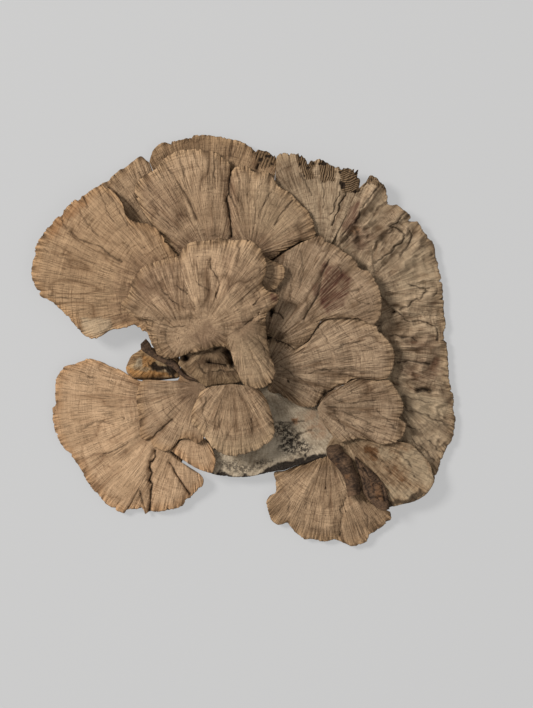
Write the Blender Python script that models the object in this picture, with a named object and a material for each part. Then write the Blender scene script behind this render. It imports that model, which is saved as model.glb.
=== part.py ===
"""Dried sponge mushroom: a flat rosette of thin woody caps on a piece of bark.

The outlines were drawn from above on a sheet with steps of half a millimetre, x to the right and y
down. Heights and thicknesses are in millimetres above the floor. The sheet was seen by an eye
EYE_HEIGHT above the floor, so a point that lies high is drawn a little further out than it is.
"""
import math

import bmesh
import bpy
from mathutils import Vector, geometry

STEP = 0.0005
MM = 0.001
MIDDLE = (244.2, 340.8)
EYE = (266.5, 354.0)
EYE_HEIGHT = 1.2
WELD = 1e-6

CAP_TAN = (0.40, 0.27, 0.16)
RIM_TAN = (0.46, 0.30, 0.17)
GREY_TAN = (0.34, 0.25, 0.17)
PINK_TAN = (0.45, 0.29, 0.19)
PEELED = (0.38, 0.28, 0.18)
BARK_GREY = (0.30, 0.25, 0.19)
BARK_DARK = (0.06, 0.04, 0.03)
RUST = (0.33, 0.20, 0.09)

CAPS = (
    dict(
        name="left_cap",
        colour=RIM_TAN,
        rows=4,
        whole=True,
        rim=((179, 256), (171, 246), (158, 229), (150, 224), (131, 219), (126, 214), (121, 200),
             (112, 190), (101, 184), (90, 190), (83, 195), (75, 198), (66, 206), (59, 214), (47, 227),
             (36, 243), (32, 262), (31, 278), (40, 296), (53, 304), (66, 316), (80, 332), (87, 338),
             (94, 339.5), (102, 336), (110, 331), (127, 328), (134, 326), (143, 333), (160, 336),
             (178, 333), (183, 306), (183, 280)),
        root=((142, 288),),
        root_top=(17.5,),
        rim_top=(18.5, 16.5, 14, 12, 9.5, 8.5, 8, 8.5, 10, 12.5, 18, 21, 21, 18.5),
        thick=(3.2, 1.8),
        dome=0.5,
        folds=((((72, 232), (82, 240), (100, 248), (122, 262)), -0.8, 2.5),
               (((45, 270), (80, 275), (120, 285)), 0.9, 5.0)),
    ),
    dict(
        name="shoulder_cap",
        colour=CAP_TAN,
        rows=3,
        rim=((100, 198), (98, 186), (107, 180), (121, 168), (129, 164), (136, 158), (141, 155.5),
             (148.3, 161.5)),
        root=((203, 345), (208, 328)),
        root_top=(8.4, 8.4),
        rim_top=(5, 4.5, 5),
        thick=(3, 1.8),
        dome=0.3,
        folds=(),
    ),
    dict(
        name="back_cap",
        colour=CAP_TAN,
        rows=3,
        rim=((149, 161), (153, 149), (161, 142), (168, 141.5), (181, 139), (191, 135), (209, 134.5),
             (226, 137), (239, 140), (249, 145), (254, 148), (264, 149), (271, 153), (276, 156),
             (276.5, 163)),
        root=((214, 316), (232, 308), (260, 302)),
        root_top=(8.4, 8.4),
        rim_top=(5, 4.5, 4.5, 5, 6, 6.5, 6.5),
        thick=(3, 1.8),
        dome=0.2,
        folds=(),
    ),
    dict(
        name="crown_cap",
        colour=CAP_TAN,
        rows=4,
        whole=True,
        rim=((162, 238), (150, 222), (142, 210), (136, 198), (134, 187), (142, 176), (156, 168),
             (160.5, 162), (170.5, 153), (178, 150), (192, 148), (210.5, 149), (222, 156),
             (229, 160.5), (231.5, 171), (235, 166.5), (248, 166), (254, 171), (268, 171),
             (275.5, 180), (279, 185.5), (292, 193), (303, 205.5), (310, 211), (314.5, 224.5),
             (316.5, 235.5), (301, 241.5), (286, 250.5), (272, 260), (259, 270), (250, 290), (198, 292),
             (182, 268)),
        root=((232, 248),),
        root_top=(15,),
        rim_top=(14, 11.5, 10, 10, 10, 10.5, 11, 11, 11.5, 13.5, 17, 17, 16.5, 14),
        thick=(3.4, 1.8),
        dome=0.3,
        folds=((((231, 168), (229, 192), (230, 213), (232, 237)), -1.6, 4.0),
               (((163, 162), (177, 180), (193, 208), (196, 220)), -0.7, 2.5),
               (((205, 155), (207, 190), (212, 230)), 0.9, 6.0),
               (((262, 178), (255, 205), (248, 240)), 0.9, 6.0)),
    ),
    dict(
        name="curled_cap",
        colour=GREY_TAN,
        rows=5,
        rim=((277.2, 163), (277.6, 155), (281, 152), (289, 152), (299, 153), (310, 160), (320, 158), (332, 164),
             (344.5, 166), (350, 168), (359, 167), (358, 175.5), (360.5, 180), (359, 189)),
        root=((268, 303), (284, 304), (300, 307)),
        root_top=(7.6, 7.6),
        rim_top=(6.5, 9.5, 10, 10, 10.5, 10.5, 9),
        thick=(3, 3.6),
        dome=0,
        bend=5,
        folds=(),
    ),
    dict(
        name="right_cap",
        colour=GREY_TAN,
        rows=8,
        rim=((361, 188), (367, 180.5), (370.5, 174.5), (379, 179), (385, 185.5), (388, 192),
             (389, 204), (398, 204.5), (405.5, 209), (411.5, 217), (409, 220.5), (418, 221.5),
             (424.5, 231), (434, 243), (436.5, 256), (440, 268), (443, 285.5), (444.5, 301),
             (446.5, 324), (447, 337), (449, 358), (450, 378.5), (455, 400), (454, 409),
             (456.5, 421), (453, 438.5), (445, 453), (441.5, 463), (435, 480)),
        root=((333, 244.5), (327, 258), (324, 276), (325, 300), (332, 326), (337.5, 366), (352, 412),
              (408, 478)),
        root_top=(6.3, 6.3),
        rim_top=(9, 9, 7.5, 5.5, 4.5, 4, 4, 4, 4, 4.5, 5),
        thick=(3, 1.8),
        dome=0,
        folds=((((378, 184), (371, 199), (360, 211), (341, 237)), 2.4, 4.0),
               (((404, 212), (392, 222), (376, 238)), 2.2, 4.5),
               (((404, 235), (391, 250), (372, 266)), 2.0, 5.0),
               (((420, 240), (408, 262), (392, 278)), 1.6, 5.0),
               (((436, 296), (418, 308), (400, 314)), 1.6, 5.5),
               (((438, 345), (418, 346), (400, 350)), 1.6, 6.0),
               (((440, 382), (424, 378), (402, 372)), 1.4, 5.0),
               (((432, 391), (418, 389)), -2.0, 4.0),
               (((445, 430), (425, 415), (408, 405)), 1.2, 6.0),
               (((361, 240), (350, 228)), -1.5, 5.0)),
    ),
    dict(
        name="mottled_cap",
        colour=PEELED,
        rows=3,
        whole=True,
        rim=((391, 440), (408, 443), (413, 445), (423, 455), (430.5, 464), (434, 477),
             (434.5, 482), (427, 494), (415, 501.5), (403, 504.5), (392, 507), (384, 507),
             (375, 501), (364, 487), (354.5, 471), (344, 460), (335, 455.5), (328, 450), (336, 437),
             (357, 436), (375, 437)),
        root=((375, 466),),
        root_top=(9.6,),
        rim_top=(9.6, 9.6, 9.4, 9.4, 9.6, 9.6),
        thick=(2.4, 2),
        dome=0,
        folds=(),
    ),
    dict(
        name="middle_upper_cap",
        colour=CAP_TAN,
        rows=4,
        rim=((285, 252.2), (300.7, 243.2), (310, 239.3), (317, 236.9), (321, 236), (330, 242),
             (345.5, 251), (355.5, 260), (362, 269.5), (368, 270.5), (376.5, 280), (382, 295.5),
             (383, 303), (381, 318), (375, 325), (366.5, 322), (359, 318.5), (349, 318), (329, 318),
             (321, 320), (314, 330), (307, 340.5), (298, 346), (287, 343), (276, 338), (266, 334)),
        root=((263, 268.3), (263.5, 272), (264, 276)),
        root_top=(16.5, 16.5),
        rim_top=(16, 15, 13.5, 13, 13, 13.5, 15, 15.5, 16, 16, 16.5),
        thick=(4, 1.8),
        dome=1,
        folds=((((316, 290), (340, 262)), 0.8, 5.0),
               (((322, 275), (318, 295), (305, 319)), -0.9, 3.0)),
    ),
    dict(
        name="middle_cap",
        colour=CAP_TAN,
        rows=4,
        whole=True,
        rim=((276, 339), (287, 344), (298, 347.2), (308, 341.5), (315.2, 331), (321.8, 321.2),
             (329.2, 319.2), (349, 319.2), (358.8, 319.8), (366, 323.4), (375, 327), (385, 336), (394, 348),
             (395.5, 357), (393, 371), (388.5, 378), (378, 380), (368, 379), (358, 378), (350, 379),
             (345, 383), (335, 388), (326, 392), (322, 398), (319, 404), (313, 408), (300, 407),
             (292, 403), (280, 396), (268, 392), (263, 370), (264, 345)),
        root=((296, 364),),
        root_top=(16,),
        rim_top=(15, 14, 14, 13, 12.6, 12.6, 12.8, 13, 13, 13, 14, 15, 15.5),
        thick=(6.2, 1.8),
        dome=0,
        folds=((((300, 352), (340, 345), (385, 352)), 0.9, 8.0),
               (((322, 398), (345, 372)), -0.8, 4.0)),
    ),
    dict(
        name="middle_lower_cap",
        colour=CAP_TAN,
        rows=4,
        rim=((327.5, 393.4), (335.7, 389.2), (345.7, 384.2), (351, 381.2), (358, 379.2), (368, 380.2),
             (378, 381.2), (389, 379.5), (398, 391), (403, 400), (404.5, 410), (400.5, 418),
             (406.5, 424), (403.5, 437), (396, 443), (386, 445.5), (371, 441), (360, 439),
             (350, 441), (341, 443), (331, 434), (323, 423)),
        root=((321, 402), (317.5, 408), (319, 416)),
        root_top=(14, 14),
        rim_top=(14, 13.2, 12.6, 12.3, 12.2, 12.2, 12.2, 12.4, 13),
        thick=(4.4, 1.8),
        dome=0.8,
        folds=((((335, 405), (370, 400)), 0.8, 5.0),),
    ),
    dict(
        name="tongue_cap",
        colour=CAP_TAN,
        rows=2,
        rim=((265.5, 256), (271, 260), (279, 263), (284, 266), (285.5, 272.5), (284, 279),
             (280, 284), (276, 289), (268, 291)),
        root=((258, 262), (256, 272), (258, 286)),
        root_top=(21, 21),
        rim_top=(20.5, 20, 20, 20.5),
        thick=(2.2, 1.5),
        dome=0,
        folds=(),
    ),
    dict(
        name="centre_cap",
        colour=CAP_TAN,
        rows=5,
        whole=True,
        rim=((171, 359), (162.5, 357.5), (156, 354), (150, 341), (145.5, 329), (146, 322.5),
             (139, 319), (130.5, 316), (120, 307.5), (120.5, 302.5), (126, 297.5), (129, 290),
             (130.5, 282.5), (139, 270), (144, 265), (160, 260), (170, 257), (177.5, 256),
             (184, 246), (190, 242), (210, 239), (219, 237), (232.5, 239.5), (251, 239.5),
             (262.5, 250), (267, 262.5), (265.5, 274), (262.5, 282), (268, 290), (277.5, 293),
             (280, 296), (278, 302.5), (267.5, 314), (267, 332.5), (268, 342.5), (272.5, 359),
             (276, 374), (270, 385), (260, 389), (245, 386), (241, 381), (237.5, 372), (234, 364),
             (230, 351), (219, 347), (205, 351), (190, 354)),
        root=((222, 318),),
        root_top=(33,),
        rim_top=(25, 22.5, 22, 22, 22.5, 23, 24, 24.5, 25, 25.5, 25.5, 25.5, 26, 27, 28.5, 29.5, 30, 30.5,
                 31, 31, 29, 25),
        thick=(3.4, 1.8),
        dome=1,
        folds=((((154, 275), (165, 293), (186, 310)), -0.8, 3.0),
               (((177, 286), (190, 295), (195, 309)), -0.8, 3.0),
               (((210, 259), (218, 276), (217, 295)), -0.9, 3.0),
               (((259, 312), (251, 320), (240, 330)), -0.9, 3.0),
               (((234, 262), (228, 285), (220, 315)), 0.9, 5.0)),
    ),
    dict(
        name="little_cap",
        colour=CAP_TAN,
        rows=4,
        rim=((201, 390), (197.5, 397.5), (194, 405), (191, 412.5), (190.5, 420), (194, 427.5),
             (200, 434), (207.5, 441), (212.5, 449), (220, 454), (227.5, 456), (237.5, 457),
             (247.5, 454), (257.5, 450.5), (266, 445), (272.5, 440), (275, 432.5), (274, 422.5),
             (272, 414), (269, 405), (265, 396), (259, 389)),
        root=((212, 386), (232, 384), (252, 386)),
        root_top=(24.5, 25.5, 24.5),
        rim_top=(22.5, 21.5, 21, 21, 21, 21, 21.5, 22, 23),
        thick=(3.4, 1.8),
        dome=1.6,
        folds=(),
    ),
    dict(
        name="lower_left_cap",
        colour=PINK_TAN,
        rows=5,
        whole=True,
        rim=((137, 380.2), (129, 375.5), (122, 371), (112.5, 366), (97.5, 360), (86, 358), (77.5, 362), (64, 366),
             (57, 375), (55, 381), (54.5, 395), (51.5, 413), (54, 429), (60, 444), (70, 455.5),
             (80, 469), (87.5, 484), (97, 495), (104, 503), (115, 510.5), (124, 514), (126, 510.5),
             (142.5, 511), (145, 515), (150, 512), (157.5, 512.5), (180, 508), (189, 500),
             (195, 494), (205.5, 482.5), (201, 475), (190, 468), (182.5, 462.5), (192, 452),
             (201, 440), (201, 420), (200, 396), (180, 385), (150, 383.5)),
        root=((160, 449),),
        root_top=(10.3,),
        rim_top=(8.5, 6, 4.5, 4.5, 4.5, 4.5, 5, 7, 10, 11.5, 8.5),
        thick=(3.4, 1.8),
        dome=0.6,
        folds=((((155, 451), (150, 468), (151, 490), (149, 511)), -1.4, 3.0),
               (((170, 462), (185, 487), (190, 494)), -1.0, 2.5),
               (((80, 431), (95, 423), (114, 425)), -0.8, 2.5),
               (((102, 453), (122, 447), (134, 436)), 0.9, 5.0)),
    ),
    dict(
        name="overlay_cap",
        colour=PINK_TAN,
        rows=3,
        rim=((181, 367.2), (179.3, 378.5), (178.3, 380.2), (160, 380.4), (142.5, 380.6), (137.5, 390),
             (136, 400), (139, 420),
             (140.5, 437.5), (145, 440.5), (150, 440), (152.5, 446), (157.5, 450), (170, 451),
             (174.5, 446.5), (177, 441), (185, 439), (190, 440), (197.5, 444), (203, 440), (206, 430)),
        root=((205.6, 386.6),),
        root_top=(16.6, 16.6),
        rim_top=(16.6, 15.5, 13.5, 12.4, 12.4, 12.6, 13.5, 15.5, 16.5),
        thick=(3, 1.6),
        dome=0.3,
        folds=((((151, 438), (165, 427), (175, 415)), -0.7, 3.0),),
    ),
    dict(
        name="wedge_cap",
        colour=PINK_TAN,
        rows=2,
        rim=((171, 451), (180, 458), (190, 465), (201, 470.5), (212.5, 473), (214.5, 467.5),
             (216, 460), (214, 454), (212, 447)),
        root=((180, 441), (190, 436), (204, 438)),
        root_top=(13, 13),
        rim_top=(12.4, 12.4, 12.6, 13),
        thick=(2, 1.4),
        dome=0,
        folds=(),
    ),
    dict(
        name="bottom_cap",
        colour=GREY_TAN,
        rows=4,
        whole=True,
        rim=((296, 467), (285, 471.3), (276, 472.3), (275, 486), (275, 492.5), (269, 496),
             (265.5, 502.5), (268, 514), (271, 521), (277.5, 525), (287.5, 525), (294.5, 532.5),
             (305, 540), (314, 540), (322.5, 542.5), (335, 540.5), (347.5, 545), (352.5, 547),
             (369, 541), (369.5, 536), (380, 529), (392.5, 517), (389, 511.5), (382, 508.5),
             (372, 504), (362, 490), (352, 472), (341, 461), (328, 456.8), (318, 459.8), (306, 464.8)),
        root=((325, 485),),
        root_top=(7.5,),
        rim_top=(7.8, 5.5, 4.5, 4.5, 4.5, 4.5, 5, 6.5, 8, 8.8, 7.8),
        thick=(3.2, 1.8),
        dome=0.5,
        folds=((((346, 497), (342, 515), (340, 535)), -0.8, 3.0),
               (((310, 480), (300, 500), (295, 520)), 0.8, 5.0)),
    ),
    dict(
        name="base_knob",
        colour=PEELED,
        rows=3,
        whole=True,
        rim=((186, 302), (215, 298), (245, 297), (259, 308), (259, 340), (258, 372), (236, 382),
             (216, 383.5), (206.5, 385.2), (197, 377.9), (189, 371.8), (181.5, 366), (179, 362.5),
             (179.5, 357), (186, 335)),
        root=((210, 358),),
        root_top=(25.5,),
        rim_top=(22, 23, 23, 22.5, 22.5, 22, 22, 22, 22.5, 23.5, 23, 22),
        floor=9.4,
        dome=1,
        folds=((((185, 356), (186, 358)), -4.0, 3.5),
               (((227, 352), (232, 362)), -4.0, 4.0),
               (((208, 362), (226, 365)), -2.0, 3.0)),
    ),
    dict(
        name="bark_slab",
        colour=BARK_GREY,
        rows=4,
        whole=True,
        rim=((209, 472), (226, 476.5), (240, 477.5), (255, 476), (270, 472.3), (276, 470.8),
             (284, 470), (295, 465.8), (305, 463.6), (317, 458.8), (326, 455.8), (326.5, 450),
             (334, 437), (334.5, 410), (334, 360),
             (322, 325), (300, 310), (262, 306), (230, 312), (208, 330), (203, 370), (203, 410),
             (205, 440)),
        root=((268, 400),),
        root_top=(8.8,),
        rim_top=(8, 8.6, 8.6, 8.6, 8.8, 8.8, 8.8, 8.8, 8.8, 8.8),
        floor=0,
        dome=0.1,
        folds=(),
    ),
    dict(
        name="twig",
        colour=BARK_DARK,
        rows=3,
        rim=((330, 445), (340, 444.5), (344, 451), (352, 459), (355, 467.5), (358.5, 476),
             (360.5, 484), (361, 494)),
        root=((326, 449.5), (327.8, 457.5), (335, 465), (341, 472.5), (345, 480), (348, 497)),
        root_top=(10.8, 10.8),
        rim_top=(10.8, 10.8),
        floor=10,
        dome=4.2,
        folds=(),
    ),
    dict(
        name="bark_strip",
        colour=BARK_DARK,
        rows=3,
        rim=((355, 456), (361, 461), (370, 469), (377.5, 476), (384, 484), (387, 491), (389, 500),
             (390, 509)),
        root=((355.3, 461), (357.3, 468), (360.3, 476), (362, 484.5), (362.8, 492), (369, 501), (377, 508),
              (383, 511)),
        root_top=(10.8, 10.8),
        rim_top=(11, 11),
        floor=10.1,
        dome=1.8,
        folds=(),
    ),
    dict(
        name="dark_sliver",
        colour=BARK_DARK,
        rows=2,
        rim=((146, 338.5), (150, 343), (153, 349), (158, 354), (165, 358), (173, 359), (178, 364),
             (182, 370), (188, 375.5), (195.5, 379)),
        root=((140.5, 344), (141, 350), (149, 355.5), (158, 361), (166, 364.5), (173, 368.5),
              (179, 374), (186, 379), (194.5, 381)),
        root_top=(15.2, 15.4, 18.6, 18.6),
        rim_top=(15.2, 15.4, 18.6, 18.6),
        thick=(1, 1),
        dome=1.2,
        folds=(),
    ),
    dict(
        name="rust_chunk",
        colour=RUST,
        rows=3,
        whole=True,
        rim=((138, 350.5), (146, 347), (160, 348), (176, 352), (180, 366), (178, 377), (169, 378.5),
             (160, 379.5), (147.5, 379.5), (135, 378.5), (130, 375), (125.5, 369), (127.5, 362.5),
             (131, 356)),
        root=((152, 364),),
        root_top=(12.5,),
        rim_top=(10.5, 11, 12, 12, 10, 9, 9, 9.5),
        floor=3,
        dome=0.8,
        folds=((((135, 374), (158, 374)), 0.9, 3.0),
               (((142, 362), (156, 364)), -1.2, 3.0)),
    ),
)


def seen_from_above(x, y, z):
    """The point in metres for a place on the sheet and a height in millimetres."""
    closer = (EYE_HEIGHT - z * MM) / EYE_HEIGHT
    sheet_x = EYE[0] + (x - EYE[0]) * closer
    sheet_y = EYE[1] + (y - EYE[1]) * closer
    return Vector(((sheet_x - MIDDLE[0]) * STEP, (MIDDLE[1] - sheet_y) * STEP, z * MM))


def spread(values, u):
    """The value at u of a list spread evenly over 0 to 1, numbers or sheet points."""
    if len(values) == 1:
        return values[0]
    place = u * (len(values) - 1)
    first = min(int(place), len(values) - 2)
    part = place - first
    if isinstance(values[0], tuple):
        return tuple(a + (b - a) * part for a, b in zip(values[first], values[first + 1]))
    return values[first] + (values[first + 1] - values[first]) * part


def along(points):
    """How far each point lies along the line through all of them, from 0 to 1."""
    lengths = [0.0]
    for a, b in zip(points, points[1:]):
        lengths.append(lengths[-1] + math.dist(a, b))
    return [length / lengths[-1] for length in lengths]


def distance_to_line(point, line):
    """The distance on the sheet from a point to a line of several points."""
    spots = []
    for a, b in zip(line, line[1:]):
        near, part = geometry.intersect_point_line(point, a, b)
        inside = min(max(part, 0.0), 1.0)
        spots.append(math.dist(point, Vector(a).lerp(Vector(b), inside)))
    return min(spots)


def fold_height(cap, x, y):
    """What the ridges and creases add at a place on the sheet, in millimetres."""
    total = 0.0
    for line, height, width in cap["folds"]:
        away = distance_to_line((x, y), line)
        total += height * math.exp(-((away / width) ** 2))
    return total


def cap_point(cap, rim_point, u, v, lower):
    """A point of the upper or lower surface: u runs along the rim, v from the root to the rim."""
    root_point = spread(cap["root"], u)
    x = root_point[0] + (rim_point[0] - root_point[0]) * v
    y = root_point[1] + (rim_point[1] - root_point[1]) * v
    reach = v ** cap.get("bend", 1.3)
    top = spread(cap["root_top"], u) * (1 - reach) + spread(cap["rim_top"], u) * reach
    top += cap["dome"] * 4 * v * (1 - v)
    top += fold_height(cap, x, y)
    spot = seen_from_above(x, y, top)
    if not lower:
        return spot
    if "floor" in cap:
        return Vector((spot.x, spot.y, cap["floor"] * MM))
    thick_root, thick_rim = cap["thick"]
    return Vector((spot.x, spot.y, spot.z - (thick_root + (thick_rim - thick_root) * v) * MM))


def wall_of(face, wanted):
    """Whether every corner of the face has the wanted place across the flat grid."""
    return all(abs(vert.co.x - wanted) < 1e-5 for vert in face.verts)


def flat_double_grid(columns, rows, whole):
    """Two grids, z 0 above and z -1 below, joined at their borders. A whole cap has no side walls."""
    bm = bmesh.new()
    bmesh.ops.create_grid(bm, x_segments=columns, y_segments=rows, size=0.5)
    bmesh.ops.recalc_face_normals(bm, faces=bm.faces[:])
    made = bmesh.ops.extrude_face_region(bm, geom=bm.faces[:], use_keep_orig=True)
    for item in made["geom"]:
        if isinstance(item, bmesh.types.BMVert):
            item.co.z = -1.0
    if whole:
        sides = [f for f in bm.faces if wall_of(f, -0.5) or wall_of(f, 0.5)]
        bmesh.ops.delete(bm, geom=sides, context="FACES_ONLY")
    return bm


def build_cap(cap):
    """The closed mesh of one piece, in metres."""
    whole = cap.get("whole", False)
    rim = cap["rim"] + cap["rim"][:1] if whole else cap["rim"]
    places = along(rim)
    columns = len(rim) - 1
    bm = flat_double_grid(columns, cap["rows"], whole)
    for vert in bm.verts:
        column = round((vert.co.x + 0.5) * columns)
        u = places[column] % 1.0 if whole else places[column]
        vert.co = cap_point(cap, rim[column], u, vert.co.y + 0.5, vert.co.z < -0.5)
    bmesh.ops.remove_doubles(bm, verts=bm.verts[:], dist=WELD)
    loose = [e for e in bm.edges if not e.link_faces]
    bmesh.ops.delete(bm, geom=loose, context="EDGES")
    bmesh.ops.triangulate(bm, faces=bm.faces[:])
    bmesh.ops.recalc_face_normals(bm, faces=bm.faces[:])
    return bm


def material(name, colour):
    """A plain dull material of its own for one piece."""
    made = bpy.data.materials.new(name)
    made.use_nodes = True
    shader = made.node_tree.nodes["Principled BSDF"]
    shader.inputs["Base Color"].default_value = (*colour, 1.0)
    shader.inputs["Roughness"].default_value = 0.9
    return made


def add_piece(cap, collection):
    """Puts one piece into the collection."""
    bm = build_cap(cap)
    mesh = bpy.data.meshes.new(cap["name"])
    bm.to_mesh(mesh)
    bm.free()
    mesh.shade_smooth()
    mesh.materials.append(material(cap["name"] + "_finish", cap["colour"]))
    collection.objects.link(bpy.data.objects.new(cap["name"], mesh))


def main():
    """Clears the scene and builds every piece."""
    for old in list(bpy.data.objects):
        bpy.data.objects.remove(old)
    collection = bpy.data.collections.new("dried_sponge_mushroom")
    bpy.context.scene.collection.children.link(collection)
    for cap in CAPS:
        add_piece(cap, collection)


main()
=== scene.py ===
"""Dried sponge mushroom: a flat rosette of thin woody caps on bark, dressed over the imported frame.

Outlines are on a drawing sheet with steps of half a millimetre, x to the right and y down, seen by an
eye above the floor. Heights, depths and widths are in millimetres unless a name says metres.
"""

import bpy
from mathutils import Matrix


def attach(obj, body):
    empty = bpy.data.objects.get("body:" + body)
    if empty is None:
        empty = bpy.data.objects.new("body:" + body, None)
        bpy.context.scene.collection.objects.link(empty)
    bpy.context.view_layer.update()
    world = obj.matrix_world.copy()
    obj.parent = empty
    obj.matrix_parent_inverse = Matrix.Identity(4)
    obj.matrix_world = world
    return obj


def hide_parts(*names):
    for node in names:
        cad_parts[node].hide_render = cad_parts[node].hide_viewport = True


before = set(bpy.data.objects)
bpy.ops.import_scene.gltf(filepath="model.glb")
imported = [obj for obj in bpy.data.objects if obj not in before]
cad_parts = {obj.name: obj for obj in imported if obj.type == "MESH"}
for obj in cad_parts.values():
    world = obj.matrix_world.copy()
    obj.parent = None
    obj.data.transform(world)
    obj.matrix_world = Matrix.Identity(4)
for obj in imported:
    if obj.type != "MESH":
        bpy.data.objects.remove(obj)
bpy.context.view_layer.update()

import logging
import math
from dataclasses import dataclass
from enum import Enum
from typing import Any, Optional, Sequence, Union

import bpy
import numpy as np

log = logging.getLogger("dried_sponge_mushroom")

Line = tuple[tuple[float, float], ...]
Colour = tuple[float, float, float]

# The sheet: its step, the place of the object's middle and of the eye's foot, and the eye's height
STEP_MM = 0.5
MIDDLE = (244.2, 340.8)
EYE = (266.5, 354.0)
EYE_HEIGHT_MM = 1200.0

# All pieces, in millimetres: the top, how far a top stays over its underside inside and at the rim,
# and how wide and by what share of the thickness each face the rim is rounded
HIGHEST = 33.5
LEAST_GAP = 0.5
LEAST_SKIN = 0.05
ROUNDED = 0.6
ROUND_SHARE = 0.38


def linear(red: float, green: float, blue: float) -> Colour:
    """The linear colour for the screen values 0 to 255.

    Args:
        red: the red screen value.
        green: the green screen value.
        blue: the blue screen value.

    Returns:
        The three linear values, by the usual screen curve.
    """
    parts = [value / 255.0 for value in (red, green, blue)]
    return tuple(p / 12.92 if p <= 0.04045 else ((p + 0.055) / 1.055) ** 2.4 for p in parts)


def smooth(low: float, high: float, values: np.ndarray) -> np.ndarray:
    """A soft step: 0 below low, 1 above high, and 3t^2 - 2t^3 between.

    Args:
        low: where the step starts.
        high: where it ends.
        values: the numbers to step.

    Returns:
        An array of the same shape.
    """
    part = np.clip((values - low) / (high - low), 0.0, 1.0)
    return part * part * (3.0 - 2.0 * part)


class Grain:
    """Repeatable noise for whole arrays."""

    @staticmethod
    def corner(column: np.ndarray, row: np.ndarray, seed: int) -> np.ndarray:
        """A fixed scrambled value from -1 to 1 for each whole-number place.

        Args:
            column: whole numbers across.
            row: whole numbers down.
            seed: which pattern.

        Returns:
            The values, by multiplying and folding the bits of the place.
        """
        mixed = column.astype(np.uint64) * np.uint64(0x9E3779B97F4A7C15)
        mixed ^= row.astype(np.uint64) * np.uint64(0xC2B2AE3D27D4EB4F)
        mixed ^= np.uint64(seed * 7919 + 17) * np.uint64(0x165667B19E3779F9)
        mixed ^= mixed >> np.uint64(29)
        mixed *= np.uint64(0xBF58476D1CE4E5B9)
        mixed ^= mixed >> np.uint64(32)
        return (mixed & np.uint64(0xFFFF)).astype(np.float64) / 32767.5 - 1.0

    @staticmethod
    def noise(x: np.ndarray, y: np.ndarray, seed: int) -> np.ndarray:
        """Soft noise from -1 to 1: the four corner values blended by soft steps along x and y.

        Args:
            x: place across, one lump to each unit.
            y: place down, one lump to each unit.
            seed: which pattern.

        Returns:
            The noise at each place.
        """
        x, y = np.broadcast_arrays(np.asarray(x, float) + 4096.0, np.asarray(y, float) + 4096.0)
        column, row = np.floor(x).astype(np.int64), np.floor(y).astype(np.int64)
        part_x, part_y = x - column, y - row
        part_x = part_x * part_x * (3.0 - 2.0 * part_x)
        part_y = part_y * part_y * (3.0 - 2.0 * part_y)
        upper = Grain.corner(column, row, seed) * (1 - part_x) + Grain.corner(column + 1, row, seed) * part_x
        lower = (Grain.corner(column, row + 1, seed) * (1 - part_x)
                 + Grain.corner(column + 1, row + 1, seed) * part_x)
        return upper * (1 - part_y) + lower * part_y

    @staticmethod
    def crumb(x: np.ndarray, y: np.ndarray, seed: int) -> np.ndarray:
        """Three layers of the noise, each half as wide and half as strong as the one before."""
        return (Grain.noise(x, y, seed) + 0.5 * Grain.noise(2 * x, 2 * y, seed + 1)
                + 0.25 * Grain.noise(4 * x, 4 * y, seed + 2))


class Sheet:
    """The drawing sheet and what lies on it."""

    @staticmethod
    def lift(x: np.ndarray, y: np.ndarray, height: np.ndarray) -> np.ndarray:
        """Points in metres for places on the sheet at a height.

        A place is drawn where the eye sees it on the floor, so a high point moves towards the eye's
        foot by its share of the eye's height.

        Args:
            x: across the sheet, in steps.
            y: down the sheet, in steps.
            height: above the floor, in millimetres.

        Returns:
            An array with one row of x, y, z for each place.
        """
        closer = (EYE_HEIGHT_MM - height) / EYE_HEIGHT_MM
        sheet_x = EYE[0] + (x - EYE[0]) * closer
        sheet_y = EYE[1] + (y - EYE[1]) * closer
        across = (sheet_x - MIDDLE[0]) * STEP_MM
        up = (MIDDLE[1] - sheet_y) * STEP_MM
        return np.stack([across, up, height], axis=-1).reshape(-1, 3) * 0.001

    @staticmethod
    def away_from(x: np.ndarray, y: np.ndarray, line: Line) -> np.ndarray:
        """The distance in millimetres from each place to a line of several points.

        Args:
            x: across the sheet, in steps.
            y: down the sheet, in steps.
            line: the line's points.

        Returns:
            The smallest distance to any of its stretches.
        """
        least = np.full(np.shape(x), 1e9)
        for (ax, ay), (bx, by) in zip(line, line[1:]):
            along_x, along_y = bx - ax, by - ay
            part = ((x - ax) * along_x + (y - ay) * along_y) / (along_x ** 2 + along_y ** 2)
            part = np.clip(part, 0.0, 1.0)
            least = np.minimum(least, np.hypot(x - ax - part * along_x, y - ay - part * along_y))
        return least * STEP_MM

    @staticmethod
    def within(x: np.ndarray, y: np.ndarray, border: Line, blur: float) -> np.ndarray:
        """How far each place is inside a closed border, 0 outside to 1 inside.

        Args:
            x: across the sheet, in steps.
            y: down the sheet, in steps.
            border: the corners in order.
            blur: the width of the soft edge in millimetres.

        Returns:
            The crossing count along a level line gives inside or outside; the distance softens it.
        """
        inside = np.zeros(np.shape(x), bool)
        closed = border + border[:1]
        for (ax, ay), (bx, by) in zip(closed, closed[1:]):
            if ay == by:
                continue
            crosses = (ay > y) != (by > y)
            inside ^= crosses & (x < ax + (y - ay) * (bx - ax) / (by - ay))
        signed = Sheet.away_from(x, y, closed) * np.where(inside, 1.0, -1.0)
        return smooth(-blur, blur, signed)


class Way(Enum):
    """Which way a cap's fibres run."""

    FROM_FOCUS = "straight out from one place"
    ALONG_RIBS = "from the root line to the rim"


@dataclass(frozen=True)
class Mark:
    """A patch of another colour: which mask it fills, its border, soft edge, strength and wobble."""

    mask: str
    border: Line
    blur: float = 1.0
    strength: float = 1.0
    wobble: float = 1.5


@dataclass(frozen=True)
class Crease:
    """A crease or crack: its depth and width in millimetres, and how much one side rises."""

    line: Line
    depth: float = 0.5
    width: float = 0.32
    wobble: float = 1.4
    step: float = 0.35


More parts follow.
